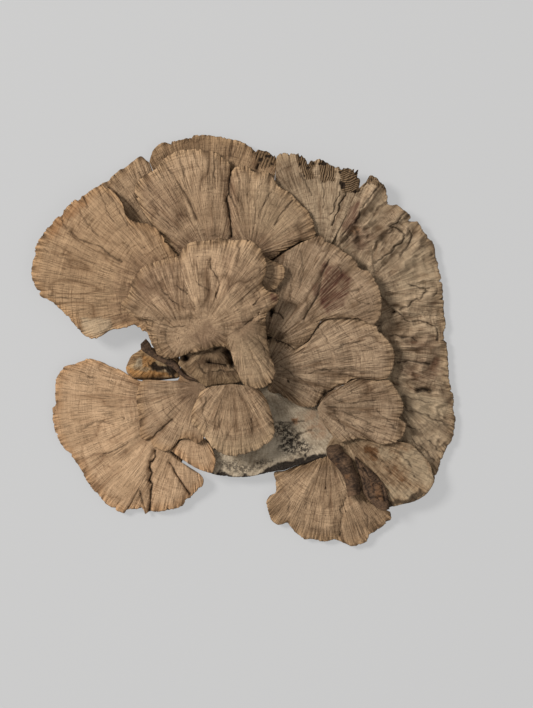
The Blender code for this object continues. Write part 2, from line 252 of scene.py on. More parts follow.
@dataclass(frozen=True)
class Tuck:
    """Where the rim goes on under its neighbour: by how many millimetres, and how much lower."""

    line: Line
    reach: float = 0.35
    drop: float = 0.0


@dataclass(frozen=True)
class Lobe:
    """A part of a cap whose fibres start at a place of their own."""

    border: Line
    focus: tuple[float, float]
    facing: tuple[float, float]


@dataclass(frozen=True)
class Plates:
    """A patch of gills seen edge on: thin plates side by side, across the given direction."""

    border: Line
    across: tuple[float, float]
    period: float = 1.05
    depth: float = 0.9


@dataclass
class Body:
    """One closed surface ready to become a mesh."""

    points: np.ndarray
    quads: np.ndarray
    triangles: np.ndarray
    pattern: np.ndarray
    masks: dict[str, np.ndarray]

    def to_object(self, name: str) -> bpy.types.Object:
        """Makes the object, with its pattern as a UV map and its masks as attributes.

        Args:
            name: the piece's name.

        Returns:
            The object, linked to the scene.
        """
        mesh = bpy.data.meshes.new(name)
        corners = np.concatenate([self.quads.reshape(-1), self.triangles.reshape(-1)]).astype(np.int32)
        sizes = np.concatenate([np.full(len(self.quads), 4), np.full(len(self.triangles), 3)])
        starts = np.concatenate([[0], np.cumsum(sizes)[:-1]]).astype(np.int32)
        mesh.vertices.add(len(self.points))
        mesh.vertices.foreach_set("co", self.points.astype(np.float32).reshape(-1))
        mesh.loops.add(len(corners))
        mesh.loops.foreach_set("vertex_index", corners)
        mesh.polygons.add(len(sizes))
        mesh.polygons.foreach_set("loop_start", starts)
        mesh.update(calc_edges=True)
        mesh.validate()
        layer = mesh.uv_layers.new(name="pattern")
        order = np.empty(len(mesh.loops), np.int32)
        mesh.loops.foreach_get("vertex_index", order)
        layer.data.foreach_set("uv", self.pattern[order].astype(np.float32).reshape(-1))
        for mask, values in self.masks.items():
            made = mesh.attributes.new(mask, "FLOAT", "POINT")
            made.data.foreach_set("value", np.clip(values, 0.0, 1.0).astype(np.float32).reshape(-1))
        mesh.shade_smooth()
        piece = bpy.data.objects.new(name, mesh)
        bpy.context.scene.collection.objects.link(piece)
        return piece


class Value:
    """A socket that takes part in sums: each operator adds one Math node."""

    def __init__(self, graph: "Graph", socket: bpy.types.NodeSocket) -> None:
        """Keeps the socket and the graph that it is in."""
        self.graph = graph
        self.socket = socket

    def _math(self, operation: str, first: Any, second: Any) -> "Value":
        """One Math node on two values or numbers."""
        node = self.graph.node("ShaderNodeMath", {"operation": operation}, {0: first, 1: second})
        return Value(self.graph, node.outputs[0])

    def __add__(self, other: Any) -> "Value":
        """Adds."""
        return self._math("ADD", self, other)

    def __radd__(self, other: Any) -> "Value":
        """Adds, from the right."""
        return self._math("ADD", other, self)

    def __sub__(self, other: Any) -> "Value":
        """Takes away."""
        return self._math("SUBTRACT", self, other)

    def __rsub__(self, other: Any) -> "Value":
        """Takes this from the other."""
        return self._math("SUBTRACT", other, self)

    def __mul__(self, other: Any) -> "Value":
        """Multiplies."""
        return self._math("MULTIPLY", self, other)

    def __rmul__(self, other: Any) -> "Value":
        """Multiplies, from the right."""
        return self._math("MULTIPLY", other, self)

    def within(self, low: float, high: float) -> "Value":
        """A soft step from 0 at low to 1 at high.

        Args:
            low: the value that gives 0.
            high: the value that gives 1.

        Returns:
            The stepped value.
        """
        node = self.graph.node("ShaderNodeMapRange", {"interpolation_type": "SMOOTHSTEP"},
                               {"Value": self, "From Min": low, "From Max": high})
        return Value(self.graph, node.outputs["Result"])


class Graph:
    """A material's nodes."""

    def __init__(self, name: str) -> None:
        """Starts a material with a shader and nothing else.

        Args:
            name: the material's name.
        """
        self.material = bpy.data.materials.new(name)
        self.material.use_nodes = True
        self.tree = self.material.node_tree
        self.shader = self.tree.nodes["Principled BSDF"]

    def node(self, kind: str, settings: dict[str, Any], values: dict[Any, Any]) -> bpy.types.Node:
        """Adds any node.

        Args:
            kind: the node's type.
            settings: what is set on the node itself.
            values: the value or link of each socket, by its name, identifier or number.

        Returns:
            The node.
        """
        made = self.tree.nodes.new(kind)
        for key, setting in settings.items():
            setattr(made, key, setting)
        for key, value in values.items():
            self.feed(self._socket(made, key), value)
        return made

    @staticmethod
    def _socket(node: bpy.types.Node, key: Any) -> bpy.types.NodeSocket:
        """Finds an input.

        Args:
            node: the node that has it.
            key: its number, identifier or name.

        Returns:
            The input.
        """
        if isinstance(key, int):
            return node.inputs[key]
        for socket in node.inputs:
            if socket.identifier == key:
                return socket
        return node.inputs[key]

    def feed(self, socket: bpy.types.NodeSocket, value: Any) -> None:
        """Sets a socket's value, or links a value to it.

        Args:
            socket: the input.
            value: a number, a colour, an output or a Value.
        """
        if isinstance(value, Value):
            self.tree.links.new(value.socket, socket)
        elif isinstance(value, bpy.types.NodeSocket):
            self.tree.links.new(value, socket)
        elif isinstance(value, tuple) and len(value) == 3 and socket.type == "RGBA":
            socket.default_value = (*value, 1.0)
        else:
            socket.default_value = value

    def mask(self, name: str) -> Value:
        """The surface's own mask of that name."""
        made = self.node("ShaderNodeAttribute", {"attribute_name": name}, {})
        return Value(self, made.outputs["Fac"])

    def mixed(self, share: Any, first: Any, second: Any) -> Value:
        """Two colours mixed.

        Args:
            share: how much of the second, 0 to 1.
            first: a colour or a link.
            second: a colour or a link.

        Returns:
            The mixed colour.
        """
        made = self.node("ShaderNodeMix", {"data_type": "RGBA", "clamp_factor": True},
                         {"Factor_Float": share, "A_Color": first, "B_Color": second})
        return Value(self, made.outputs[2])

    def stretched(self, place: Value, across: float, along: float, turn: float = 0.0) -> Value:
        """A place scaled by its own amount each way.

        Args:
            place: where the pattern is read.
            across: lumps per unit across.
            along: lumps per unit along.
            turn: how far the pattern is shifted across.

        Returns:
            The scaled place.
        """
        made = self.node("ShaderNodeMapping", {},
                         {"Vector": place, "Scale": (across, along, 1.0), "Location": (turn, turn, 0.0)})
        return Value(self, made.outputs["Vector"])

    def noise(self, place: Value, detail: float = 2.0, rough: float = 0.5) -> Value:
        """Soft noise about 0.5 at a place that is already scaled."""
        made = self.node("ShaderNodeTexNoise", {},
                         {"Vector": place, "Scale": 1.0, "Detail": detail, "Roughness": rough})
        return Value(self, made.outputs["Fac"])

    def dots(self, place: Value, size: float) -> Value:
        """Small round dots, one in each cell: 1 in a dot and 0 round it.

        Args:
            place: where the pattern is read, one cell to each unit.
            size: the dot's radius in cells.

        Returns:
            The dots.
        """
        made = self.node("ShaderNodeTexVoronoi", {}, {"Vector": place, "Scale": 1.0})
        return 1.0 - Value(self, made.outputs["Distance"]).within(size * 0.6, size)

    def pattern(self) -> Value:
        """The piece's own map: across the fibres and along them, in millimetres."""
        made = self.node("ShaderNodeUVMap", {"uv_map": "pattern"}, {})
        return Value(self, made.outputs["UV"])

    def place(self) -> Value:
        """The place in the object's own space, in metres."""
        made = self.node("ShaderNodeTexCoord", {}, {})
        return Value(self, made.outputs["Object"])


@dataclass(frozen=True)
class FleshFinish:
    """The dry felted skin of a cap."""

    name: str
    light: Colour
    dark: Colour
    rim: Colour
    shade: Colour = linear(92, 70, 51)
    pale: Colour = linear(190, 172, 144)
    stain_and_shade: Colour = linear(88, 58, 46)
    deep: Colour = linear(34, 25, 19)
    gill: Colour = linear(120, 96, 70)
    rust: Colour = linear(140, 88, 44)
    brown: Colour = linear(112, 84, 60)
    streak: float = 1.0
    arc: float = 0.45
    blotch: float = 0.5
    relief_mm: float = 0.8

    def material(self) -> bpy.types.Material:
        """The skin: streaks along the fibres, rings, warm rim, marks, painted light on ridges, and painted
        shade in hollows and creases.

        Returns:
            The material.
        """
        graph = Graph(self.name)
        pattern = graph.pattern()
        place = graph.place()
        fine = graph.noise(graph.stretched(pattern, 1.5, 0.07), 3.0, 0.62)
        broad = graph.noise(graph.stretched(pattern, 0.33, 0.03, 3.1), 2.0)
        raised = graph.mask("raised")
        ring = graph.noise(graph.stretched(pattern, 0.02, 0.42, 7.3), 3.0, 0.6)
        weave = graph.noise(graph.stretched(pattern, 0.16, 1.5, 5.9), 1.0)
        arc = graph.noise(graph.stretched(pattern, 0.045, 0.5, 9.1), 1.0) - 0.5
        arcs = 1.0 - (arc * arc).within(0.0, 0.0011)
        cloud = graph.noise(graph.stretched(place, 75.0, 75.0), 4.0, 0.62)
        crumb = graph.noise(graph.stretched(place, 1000.0, 1000.0), 3.0, 0.7)
        calm = graph.mask("calm")
        lines = (fine * 0.5 + broad * 0.28) * (1.0 - 0.9 * calm) + 0.35 * calm
        # Painted light and shade: the raised mask makes the colour lighter on ridges and darker in hollows.
        total = lines + ring * 0.3 + weave * 0.1 + cloud * 0.5 + crumb * 0.4 + raised * 0.6
        colour = graph.mixed(total.within(1.0, 1.66), self.dark, self.light)
        hair = graph.noise(graph.stretched(pattern, 3.0, 0.09, 1.7), 2.0, 0.6)
        hairs = (1.0 - hair.within(0.33, 0.45)) * (1.0 - 0.9 * calm)
        colour = graph.mixed(graph.mask("rimward") * 0.8, colour, self.rim)
        colour = graph.mixed(hairs * (0.5 * self.streak), colour, self.shade)
        colour = graph.mixed(arcs * (cloud.within(0.4, 0.62) * self.arc), colour, self.shade)
        blotch = graph.noise(graph.stretched(pattern, 0.22, 0.07, 11.7), 3.0, 0.6).within(0.53, 0.72)
        colour = graph.mixed(blotch * self.blotch, colour, self.brown)
        # Painted shade in the wrinkles' valleys, the crumple's valleys, the splits and the rim's ticks.
        colour = graph.mixed(graph.mask("shaded_valley") * (0.45 + 0.7 * fine), colour, self.shade)
        # Pale patches, and in places painted light where the lamps leave a slope darker.
        colour = graph.mixed(graph.mask("pale") * (0.2 + 0.9 * cloud), colour, self.pale)
        colour = graph.mixed(graph.mask("rust") * (0.1 + 1.0 * crumb), colour, self.rust)
        # Stains, and in places painted shade beside a higher cap.
        patchy = 0.25 + 0.95 * (fine * 0.6 + cloud * 0.4).within(0.62, 0.4)
        colour = graph.mixed(graph.mask("stain_and_shade") * patchy, colour, self.stain_and_shade)
        colour = graph.mixed(graph.mask("gill") * 0.7, colour, self.gill)
        spots = graph.dots(graph.stretched(place, 190.0, 190.0), 0.075)
        colour = graph.mixed(spots * 0.6, colour, self.deep)
        # Painted shade, nearly black, in creases, cracks, holes, gaps between gills and the rim's ticks.
        shaded_groove = graph.mask("shaded_groove") * (0.75 + 0.4 * crumb)
        colour = graph.mixed(shaded_groove, colour, self.deep)
        graph.feed(graph.shader.inputs["Base Color"], colour)
        graph.feed(graph.shader.inputs["Roughness"], 0.86 + 0.12 * crumb)
        graph.shader.inputs["Specular IOR Level"].default_value = 0.12
        height = fine * 0.7 - hairs * 0.4 + crumb * 0.6 + ring * 0.16 + weave * 0.14 - arcs * 0.1
        bump = graph.node("ShaderNodeBump", {},
                          {"Height": height, "Strength": 1.0, "Distance": self.relief_mm * 0.001})
        graph.feed(graph.shader.inputs["Normal"], bump.outputs["Normal"])
        return graph.material


@dataclass(frozen=True)
class BarkFinish:
    """Weathered bark: cream grey with black specks, with painted shade in its creases and along its broken,
    curled edge.
    """

    name: str
    light: Colour
    dark: Colour
    deep: Colour = linear(30, 22, 18)
    flake: Colour = linear(132, 96, 66)
    specks: float = 0.5

    def material(self) -> bpy.types.Material:
        """The bark: cloudy ground, specks, flakes, and painted shade in creases and along broken edges.

        Returns:
            The material.
        """
        graph = Graph(self.name)
        place = graph.place()
        pattern = graph.pattern()
        cloud = graph.noise(graph.stretched(place, 160.0, 160.0), 4.0, 0.65)
        crumb = graph.noise(graph.stretched(place, 1100.0, 1100.0), 3.0, 0.7)
        grain = graph.noise(graph.stretched(pattern, 1.2, 0.16), 3.0, 0.6)
        share = (cloud * 0.7 + crumb * 0.45 + grain * 0.3).within(0.5, 0.95)
        colour = graph.mixed(share, self.dark, self.light)
        pit = graph.noise(graph.stretched(place, 620.0, 620.0), 3.0, 0.7)
        specks = pit.within(0.62, 0.70)
        colour = graph.mixed(specks * self.specks, colour, self.deep)
        colour = graph.mixed(graph.mask("stain_and_shade") * cloud.within(0.36, 0.56), colour, self.flake)
        colour = graph.mixed(graph.mask("pale") * 0.8, colour, linear(196, 182, 160))
        pits = graph.mask("rust") * pit.within(0.47, 0.53)
        colour = graph.mixed(pits, colour, self.deep)
        # Painted shade in creases and along the broken edge.
        colour = graph.mixed(graph.mask("shaded_groove") * (0.8 + 0.3 * crumb), colour, self.deep)
        graph.feed(graph.shader.inputs["Base Color"], colour)
        graph.feed(graph.shader.inputs["Roughness"], 0.8 + 0.15 * crumb)
        graph.shader.inputs["Specular IOR Level"].default_value = 0.2
        height = cloud * 0.5 + crumb * 0.7 + grain * 0.6 - pits * 0.5
        bump = graph.node("ShaderNodeBump", {}, {"Height": height, "Strength": 1.0, "Distance": 0.0009})
        graph.feed(graph.shader.inputs["Normal"], bump.outputs["Normal"])
        return graph.material


TAN = dict(light=linear(194, 163, 130), dark=linear(130, 105, 80), rim=linear(188, 153, 114),
           pale=linear(190, 164, 131))
GREY = dict(light=linear(190, 165, 135), dark=linear(122, 102, 80), rim=linear(176, 148, 114),
            pale=linear(186, 164, 134), relief_mm=0.65)
PINK = dict(light=linear(204, 170, 135), dark=linear(160, 130, 100), rim=linear(196, 150, 105),
            shade=linear(128, 98, 72), streak=0.4, arc=0.5, blotch=0.2, relief_mm=0.6)
WARM = dict(light=linear(188, 155, 120), dark=linear(134, 108, 82), rim=linear(196, 154, 110),
            shade=linear(108, 82, 58), streak=0.42, arc=0.7, blotch=0.3, relief_mm=0.6)


@dataclass
class Cap:
    """A fan-shaped cap: a ruled sheet between a root line and a rim, with a thickness and a relief."""

    name: str
    rim: Line
    root: Line
    root_top: tuple[float, ...]
    rim_top: tuple[float, ...]
    finish: Union[FleshFinish, BarkFinish]
    whole: bool = False
    thick: tuple[float, float] = (3.0, 1.8)
    floor: Optional[float] = None
    dome: float = 0.0
    bend: float = 1.3
    folds: tuple[tuple[Line, float, float], ...] = ()
    creases: tuple[Crease, ...] = ()
    marks: tuple[Mark, ...] = ()
    way: Way = Way.FROM_FOCUS
    focus: tuple[float, float] = (0.0, 0.0)
    facing: tuple[float, float] = (0.0, -1.0)
    lobes: tuple[Lobe, ...] = ()
    tucks: tuple[Tuck, ...] = ()
    plates: tuple[Plates, ...] = ()
    spacing: float = 0.45
    rows_apart: float = 0.54
    teeth: float = 0.7
    wrinkle: float = 0.4
    crumple: float = 0.0
    fibre: float = 1.0
    rings: float = 0.12
    warm_rim: float = 1.0
    calm_mm: float = 9.0
    seed: int = 1

    def smooth_rim(self) -> tuple[np.ndarray, np.ndarray]:
        """The rim as a smooth curve through its drawn points, evenly spaced.

        Between two points the curve is the cubic whose ends run along the line between the points
        before and after, shortened where the points are close.

        Returns:
            How far along each sample is, 0 to 1, and the samples.
        """
        knots = np.array(self.rim, float)
        if self.whole:
            ring = np.vstack([knots[-1:], knots, knots[:2]])
        else:
            ring = np.vstack([2 * knots[0] - knots[1], knots, 2 * knots[-1] - knots[-2]])
        before, start, end, after = ring[:-3], ring[1:-2], ring[2:-1], ring[3:]
        part = np.linspace(0.0, 1.0, 24, endpoint=False)[None, :, None]
        gaps = [np.sqrt(np.linalg.norm(b - a, axis=1))[:, None] + 1e-6
                for a, b in ((before, start), (start, end), (end, after))]
        leave = gaps[1] * ((start - before) / gaps[0] - (end - before) / (gaps[0] + gaps[1])
                           + (end - start) / gaps[1])
        arrive = gaps[1] * ((end - start) / gaps[1] - (after - start) / (gaps[1] + gaps[2])
                            + (after - end) / gaps[2])
        leave, arrive = 0.8 * leave[:, None], 0.8 * arrive[:, None]
        start, end = start[:, None], end[:, None]
        curve = ((2 * part ** 3 - 3 * part ** 2 + 1) * start + (part ** 3 - 2 * part ** 2 + part) * leave
                 + (3 * part ** 2 - 2 * part ** 3) * end + (part ** 3 - part ** 2) * arrive).reshape(-1, 2)
        curve = np.vstack([curve, knots[:1] if self.whole else knots[-1:]])
        lengths = np.concatenate([[0.0], np.cumsum(np.linalg.norm(np.diff(curve, axis=0), axis=1))])
        self.rim_mm = lengths[-1] * STEP_MM
        count = max(24, int(self.rim_mm / self.spacing))
        along = np.linspace(0.0, 1.0, count, endpoint=not self.whole)
        samples = np.stack([np.interp(along * lengths[-1], lengths, curve[:, i]) for i in (0, 1)], axis=-1)
        return along, samples

    @staticmethod
    def spread(values: Sequence[Any], along: np.ndarray) -> np.ndarray:
        """A short list spread evenly over 0 to 1, read in straight lines.

        Args:
            values: numbers or sheet points.
            along: where to read it.

        Returns:
            One value or point for each place.
        """
        table = np.array(values, float)
        if len(table) == 1:
            return np.repeat(table, len(along), axis=0)
        knots = np.linspace(0.0, 1.0, len(table))
        if table.ndim == 1:
            return np.interp(along, knots, table)
        return np.stack([np.interp(along, knots, table[:, i]) for i in range(table.shape[1])], axis=-1)

    def ribs(self) -> None:
        """Lays the grid: u along the rim, v from the root line to the rim, in sheet steps."""
        self.u, rim = self.smooth_rim()
        root = self.spread(self.root, self.u)
        run = np.linalg.norm(rim - root, axis=1) * STEP_MM
        inner = np.linspace(0.0, 1.0, max(6, int(np.percentile(run, 80) / self.rows_apart)))
        self.v = np.unique(np.concatenate([inner, 1.0 - np.array([0.3, 0.12]) / run.mean()]))
        push, drop = self.under_neighbours(rim)
        bite = self.rim_bite(rim, run) * (push == 0.0)
        outer = self.v[None, :] ** 8
        reach = self.v[None, :] * (1.0 + (push / run - bite)[:, None] * outer)
        self.x = root[:, None, 0] + (rim - root)[:, None, 0] * reach
        self.y = root[:, None, 1] + (rim - root)[:, None, 1] * reach
        self.drop = drop[:, None] * outer
        self.to_rim = (1.0 - self.v[None, :]) * run[:, None]
        self.run = run

    def under_neighbours(self, rim: np.ndarray) -> tuple[np.ndarray, np.ndarray]:
        """How far each rib is pushed out under a neighbour, and how much lower it ends there.

        Args:
            rim: the rim's samples.

        Returns:
            Both in millimetres; they fade out from 1 to 3 mm beside the tuck's line.
        """
        push, drop = np.zeros(len(rim)), np.zeros(len(rim))
        for tuck in self.tucks:
            near = smooth(3.0, 1.0, Sheet.away_from(rim[:, 0], rim[:, 1], tuck.line))
            push = np.maximum(push, near * tuck.reach)
            drop = np.maximum(drop, near * tuck.drop)
        return push, drop

    def rim_bite(self, rim: np.ndarray, run: np.ndarray) -> np.ndarray:
        """How much each rib is shortened by the frayed rim, as a share of its length.

        Noise with lumps of 0.8, 1.8 and 5 mm along the rim, always inwards; the middle one bites only
        where it is strong, which leaves notches.

        Args:
            rim: the rim's samples.
            run: each rib's length in millimetres.

        Returns:
            The shares.
        """
        place = self.u * self.rim_mm
        rough = (0.8 * np.abs(Grain.noise(place / 0.8, 0.3, self.seed))
                 + 1.3 * smooth(0.25, 0.9, Grain.noise(place / 1.8, 1.3, self.seed + 1))
                 + 0.5 * np.abs(Grain.noise(place / 5.0, 2.3, self.seed + 2)))
        return np.clip(self.teeth * (0.1 + rough) / np.maximum(run, 3.0), 0.0, 0.3)

    def fibres(self) -> None:
        """Works out p, across the fibres, and q, along them, in millimetres."""
        if self.way is Way.ALONG_RIBS:
            self.p = np.broadcast_to((self.u * self.rim_mm)[:, None], self.x.shape).copy()
            self.q = self.v[None, :] * self.run[:, None]
            self.near_focus = np.ones_like(self.x)
            return
        self.p, self.q = self.fan(self.focus, self.facing)
        for number, lobe in enumerate(self.lobes):
            wave = 1.2 * Grain.noise(self.x / 6.0, self.y / 6.0, self.seed * 51 + number)
            inside = Sheet.within(self.x + wave, self.y + wave, lobe.border, 0.01) > 0.5
            p, q = self.fan(lobe.focus, lobe.facing)
            self.p = np.where(inside, p + 90.0 * (number + 1), self.p)
            self.q = np.where(inside, q, self.q)
        self.near_focus = smooth(3.0, self.calm_mm, self.q)

    def fan(self, focus: tuple[float, float], facing: tuple[float, float]) -> tuple[np.ndarray, np.ndarray]:
        """Places on a fan: the angle about its focus times a middle radius, and the radius.

        Args:
            focus: where the fibres start, in steps.
            facing: the fan's middle direction; the map is cut on the other side.

        Returns:
            Both in millimetres.
        """
        dx, dy = self.x - focus[0], self.y - focus[1]
        angle = np.arctan2(facing[0] * dy - facing[1] * dx, facing[0] * dx + facing[1] * dy)
        radius = np.hypot(dx, dy) * STEP_MM
        middle = 0.7 * np.percentile(radius[:, -1], 75)
        return angle * middle, radius

    def base_height(self) -> np.ndarray:
        """The plain form: from the root height to the rim height by v to a power, a dome, the folds.

        Returns:
            The height in millimetres.
        """
        reach = self.v[None, :] ** self.bend
        top = (self.spread(self.root_top, self.u)[:, None] * (1 - reach)
               + self.spread(self.rim_top, self.u)[:, None] * reach
               + self.dome * 4 * self.v[None, :] * (1 - self.v[None, :]))
        for line, height, width in self.folds:
            away = Sheet.away_from(self.x, self.y, line) / STEP_MM
            top = top + height * np.exp(-((away / width) ** 2))
        return top - self.drop

    def relief(self) -> np.ndarray:
        """The fine relief: fibres, wrinkles whose valleys are narrow, rings and rim grooves.

        Each is noise that is stretched along the fibres; rings are noise stretched across them. The
        wrinkle is minus one less the root of the noise's size, so it is sharp where noise is nought.

        Returns:
            The height in millimetres.
        """
        s = self.seed * 20
        p = self.p + 1.4 * Grain.noise(self.p / 9.0, self.q / 14.0, s)
        q = self.q + 1.8 * Grain.noise(self.p / 12.0, self.q / 12.0, s + 1)
        fine = 0.10 * Grain.noise(p / 0.8, q / 8.0, s + 2) + 0.13 * Grain.noise(p / 1.6, q / 13.0, s + 3)
        wide = 1.0 - np.sqrt(np.abs(Grain.noise(p / 4.6, q / 19.0, s + 4)) + 1e-4)
        narrow = 1.0 - np.sqrt(np.abs(Grain.noise(p / 2.1, q / 9.0, s + 15)) + 1e-4)
        outward = smooth(26.0, 2.0, self.to_rim)
        strong = 0.3 + smooth(-0.5, 0.5, Grain.noise(p / 10.0, q / 16.0, s + 5))
        light = smooth(-0.3, 0.6, Grain.noise(p / 6.0, q / 9.0, s + 16)) * (0.25 + outward)
        wrinkle = -self.wrinkle * (wide ** 2 * strong + 0.65 * narrow ** 2 * light)
        swell = 0.4 * Grain.noise(p / 8.0, q / 20.0, s + 6) * self.fibre
        ring = self.rings * (0.7 * Grain.noise(q / 1.1, p / 20.0, s + 7)
                             + 1.3 * Grain.noise(q / 3.2, p / 40.0, s + 8)
                             - 0.6 * smooth(0.86, 1.0, 1.0 - np.abs(Grain.noise(q / 2.6, p / 30.0, s + 17))))
        near_rim = smooth(8.0, 0.5, self.to_rim)
        tick = 1.0 - np.abs(Grain.noise(p / 1.15, q / 30.0, s + 9))
        shaded_groove = -0.6 * near_rim * smooth(0.55, 1.0, tick)
        # How deep each wrinkle is at its valleys; the finish paints shade there by this amount.
        self.shaded_valley = np.clip(1.0 * wide ** 3 * strong + 1.1 * narrow ** 3 * light, 0.0, 1.0)
        # The rim's ticks, which the finish darkens with painted shade.
        self.rim_groove = near_rim * smooth(0.70, 0.96, tick)
        crumb = 0.05 * Grain.crumb(self.x * 0.6, self.y * 0.6, s + 10)
        whole = self.near_focus * (self.fibre * fine + wrinkle + swell + ring) + self.fibre * shaded_groove + crumb
        return whole + self.crumpled(p, q, s)

    def crumpled(self, p: np.ndarray, q: np.ndarray, seed: int) -> np.ndarray:
        """Sharp ridges and valleys all over: one less twice the size of bent noise, in two sizes.

        Args:
            p: across the fibres.
            q: along them.
            seed: which pattern.

        Returns:
            The height in millimetres, nought at the rim.
        """
        if self.crumple == 0.0:
            return np.zeros_like(p)
        x = self.x * STEP_MM + 2.5 * Grain.noise(p / 6.0, q / 9.0, seed + 11)
        y = self.y * STEP_MM + 2.5 * Grain.noise(p / 6.0, q / 9.0, seed + 12)
        large = 1.0 - 2.0 * np.abs(Grain.noise(x / 9.0, y / 5.5, seed + 13))
        small = 1.0 - 2.0 * np.abs(Grain.noise(x / 4.0, y / 2.6, seed + 14))
        # The crumple's valleys get painted shade as well.
        self.shaded_valley = np.maximum(self.shaded_valley, smooth(-0.5, -0.9, large))
        self.shaded_valley = np.maximum(self.shaded_valley, 0.8 * smooth(-0.5, -0.95, small))
        return self.crumple * (0.75 * large + 0.45 * small - 0.3) * smooth(0.0, 3.0, self.to_rim)

    def bent(self, wobble: float, size: float, seed: int, other: int) -> tuple[np.ndarray, np.ndarray]:
        """The places on the sheet, each moved a little by crumbly noise, so that drawn lines waver.

        Args:
            wobble: how far, in steps.
            size: how wide the noise's lumps are, in steps.
            seed: which pattern moves them across.
            other: how much later the pattern is that moves them down.

        Returns:
            Across and down.
        """
        x = self.x + wobble * Grain.crumb(self.x / size, self.y / size, seed)
        y = self.y + wobble * Grain.crumb(self.x / size, self.y / size, seed + other)
        return x, y

    def cut(self) -> np.ndarray:
        """What the drawn creases and the gills take away, and the painted shade in them.

        A crease is a bell-shaped groove, and one side of it is raised and falls off with the distance.

        Returns:
            The height in millimetres, mostly below nought.
        """
        total = np.zeros_like(self.x)
        self.shaded_groove = np.zeros_like(self.x)
        self.gills = np.zeros_like(self.x)
        for number, crease in enumerate(self.creases):
            s = self.seed * 31 + number
            x, y = self.bent(crease.wobble, 6.0, s, 50)
            away = Sheet.away_from(x, y, crease.line)
            width = crease.width * (0.8 + 0.5 * Grain.noise(self.x / 5.0, self.y / 5.0, s + 90))
            deep = np.exp(-((away / np.maximum(width, 0.12)) ** 2))
            side = self.side_of(x, y, crease.line)
            raised = np.exp(-away / 1.6) * np.where(side, 1.0, -0.5)
            total += crease.depth * (crease.step * raised - 1.2 * deep)
            # Painted shade along the bottom of each crease.
            self.shaded_groove = np.maximum(self.shaded_groove, deep * min(1.0, 0.4 + crease.depth * 0.55))
        for patch in self.plates:
            total += self.plate_edges(patch)
        return total

    @staticmethod
    def side_of(x: np.ndarray, y: np.ndarray, line: Line) -> np.ndarray:
        """Whether each place is left of the straight line from a line's first point to its last."""
        (ax, ay), (bx, by) = line[0], line[-1]
        return (bx - ax) * (y - ay) - (by - ay) * (x - ax) < 0

    def plate_edges(self, patch: Plates) -> np.ndarray:
        """The height of a patch of gills seen edge on, and the painted shade between them.

        Across the plates the height goes up and down as a sharpened wave; noise bends the plates and
        leaves gaps.

        Args:
            patch: where they are and which way they stand.

        Returns:
            The height in millimetres.
        """
        s = self.seed * 61
        inside = Sheet.within(*self.bent(1.5, 4.0, s, 5), patch.border, 0.5)
        across = (self.x * patch.across[0] + self.y * patch.across[1]) * STEP_MM
        across = across + 0.7 * Grain.noise(self.x / 7.0, self.y / 7.0, s + 6)
        wave = np.abs(np.sin(np.pi * across / patch.period)) ** 0.7
        wave = wave * smooth(-0.8, -0.3, Grain.noise(self.x / 4.0, self.y / 4.0, s + 7))
        self.shaded_groove = np.maximum(self.shaded_groove, inside * smooth(0.8, 0.3, wave))
        self.gills = np.maximum(self.gills, inside)
        return inside * patch.depth * (wave - 0.8)

    def paint(self, relief: np.ndarray) -> dict[str, np.ndarray]:
        """The masks that the finish reads.

        Args:
            relief: the fine relief in millimetres.

        Returns:
            One array for each mask.
        """
        blank = np.zeros_like(self.x)
        masks = {name: blank.copy() for name in ("pale", "stain_and_shade", "rust")}
        # Painted shade: creases, gaps between gills and the rim's ticks darken.
        masks["shaded_groove"] = np.maximum(self.shaded_groove, 0.5 * self.rim_groove * smooth(3.0, 0.3, self.to_rim))
        # Painted shade in the valleys and at the rim's ticks.
        masks["shaded_valley"] = np.maximum(self.shaded_valley * self.near_focus, 0.75 * self.rim_groove)
        masks["calm"] = 1.0 - self.near_focus * np.ones_like(self.x)
        masks["gill"] = self.gills
        # Painted light on high relief and painted shade on low relief.
        masks["raised"] = 0.52 + 0.42 * relief / (1.0 + self.crumple)
        edge = smooth(6.0, 0.0, self.to_rim) * 0.6
        masks["rimward"] = edge * self.warm_rim + blank
        for number, mark in enumerate(self.marks):
            s = self.seed * 41 + number
            filled = mark.strength * Sheet.within(*self.bent(mark.wobble, 5.0, s, 9), mark.border, mark.blur)
            masks[mark.mask] = np.maximum(masks[mark.mask], filled)
        return masks

    def lower_height(self, plain: np.ndarray, top: np.ndarray) -> np.ndarray:
        """The underside: flat where the piece has a floor, or else the plain form less its thickness.

        Args:
            plain: the plain form's height.
            top: the finished top's height.

        Returns:
            The underside's height, always a little below the top.
        """
        if self.floor is not None:
            return np.full_like(plain, self.floor)
        inner, outer = self.thick
        under = plain - (inner + (outer - inner) * self.v[None, :])
        return np.minimum(under, top - LEAST_GAP)

    def round_rim(self, top: np.ndarray, lower: np.ndarray) -> tuple[np.ndarray, np.ndarray]:
        """Rounds the rim: close to it both faces come together by a quarter circle.

        Args:
            top: the top's height.
            lower: the underside's height.

        Returns:
            Both heights; an underside that is a floor stays flat.
        """
        near = np.clip(1.0 - self.to_rim / ROUNDED, 0.0, 1.0)
        pull = ROUND_SHARE * (1.0 - np.sqrt(np.clip(1.0 - near ** 2, 0.0, 1.0)))
        gap = top - lower
        if self.floor is not None:
            return top - pull * np.minimum(gap, 2.0), lower
        return top - pull * gap, lower + pull * gap

    def surface(self) -> Body:
        """The closed surface: an upper and a lower grid, joined round the rim and at the root.

        Returns:
            The surface with its masks.
        """
        self.ribs()
        self.fibres()
        plain = self.base_height()
        relief = self.relief()
        top = np.minimum(plain + relief + self.cut(), HIGHEST)
        masks = self.paint(relief)
        lower = self.lower_height(plain, top)
        top, lower = self.round_rim(top, lower)
        lower = np.maximum(lower, 0.0)
        top = np.maximum(top, lower + LEAST_SKIN)
        if self.whole:
            top[:, 0] = top[:, 0].mean()
            lower[:, 0] = lower[:, 0].mean()
        upper_points = Sheet.lift(self.x, self.y, top)
        lower_points = Sheet.lift(self.x, self.y, lower)
        lower_points[:, :2] = upper_points[:, :2]
        return self.close(upper_points, lower_points, masks)

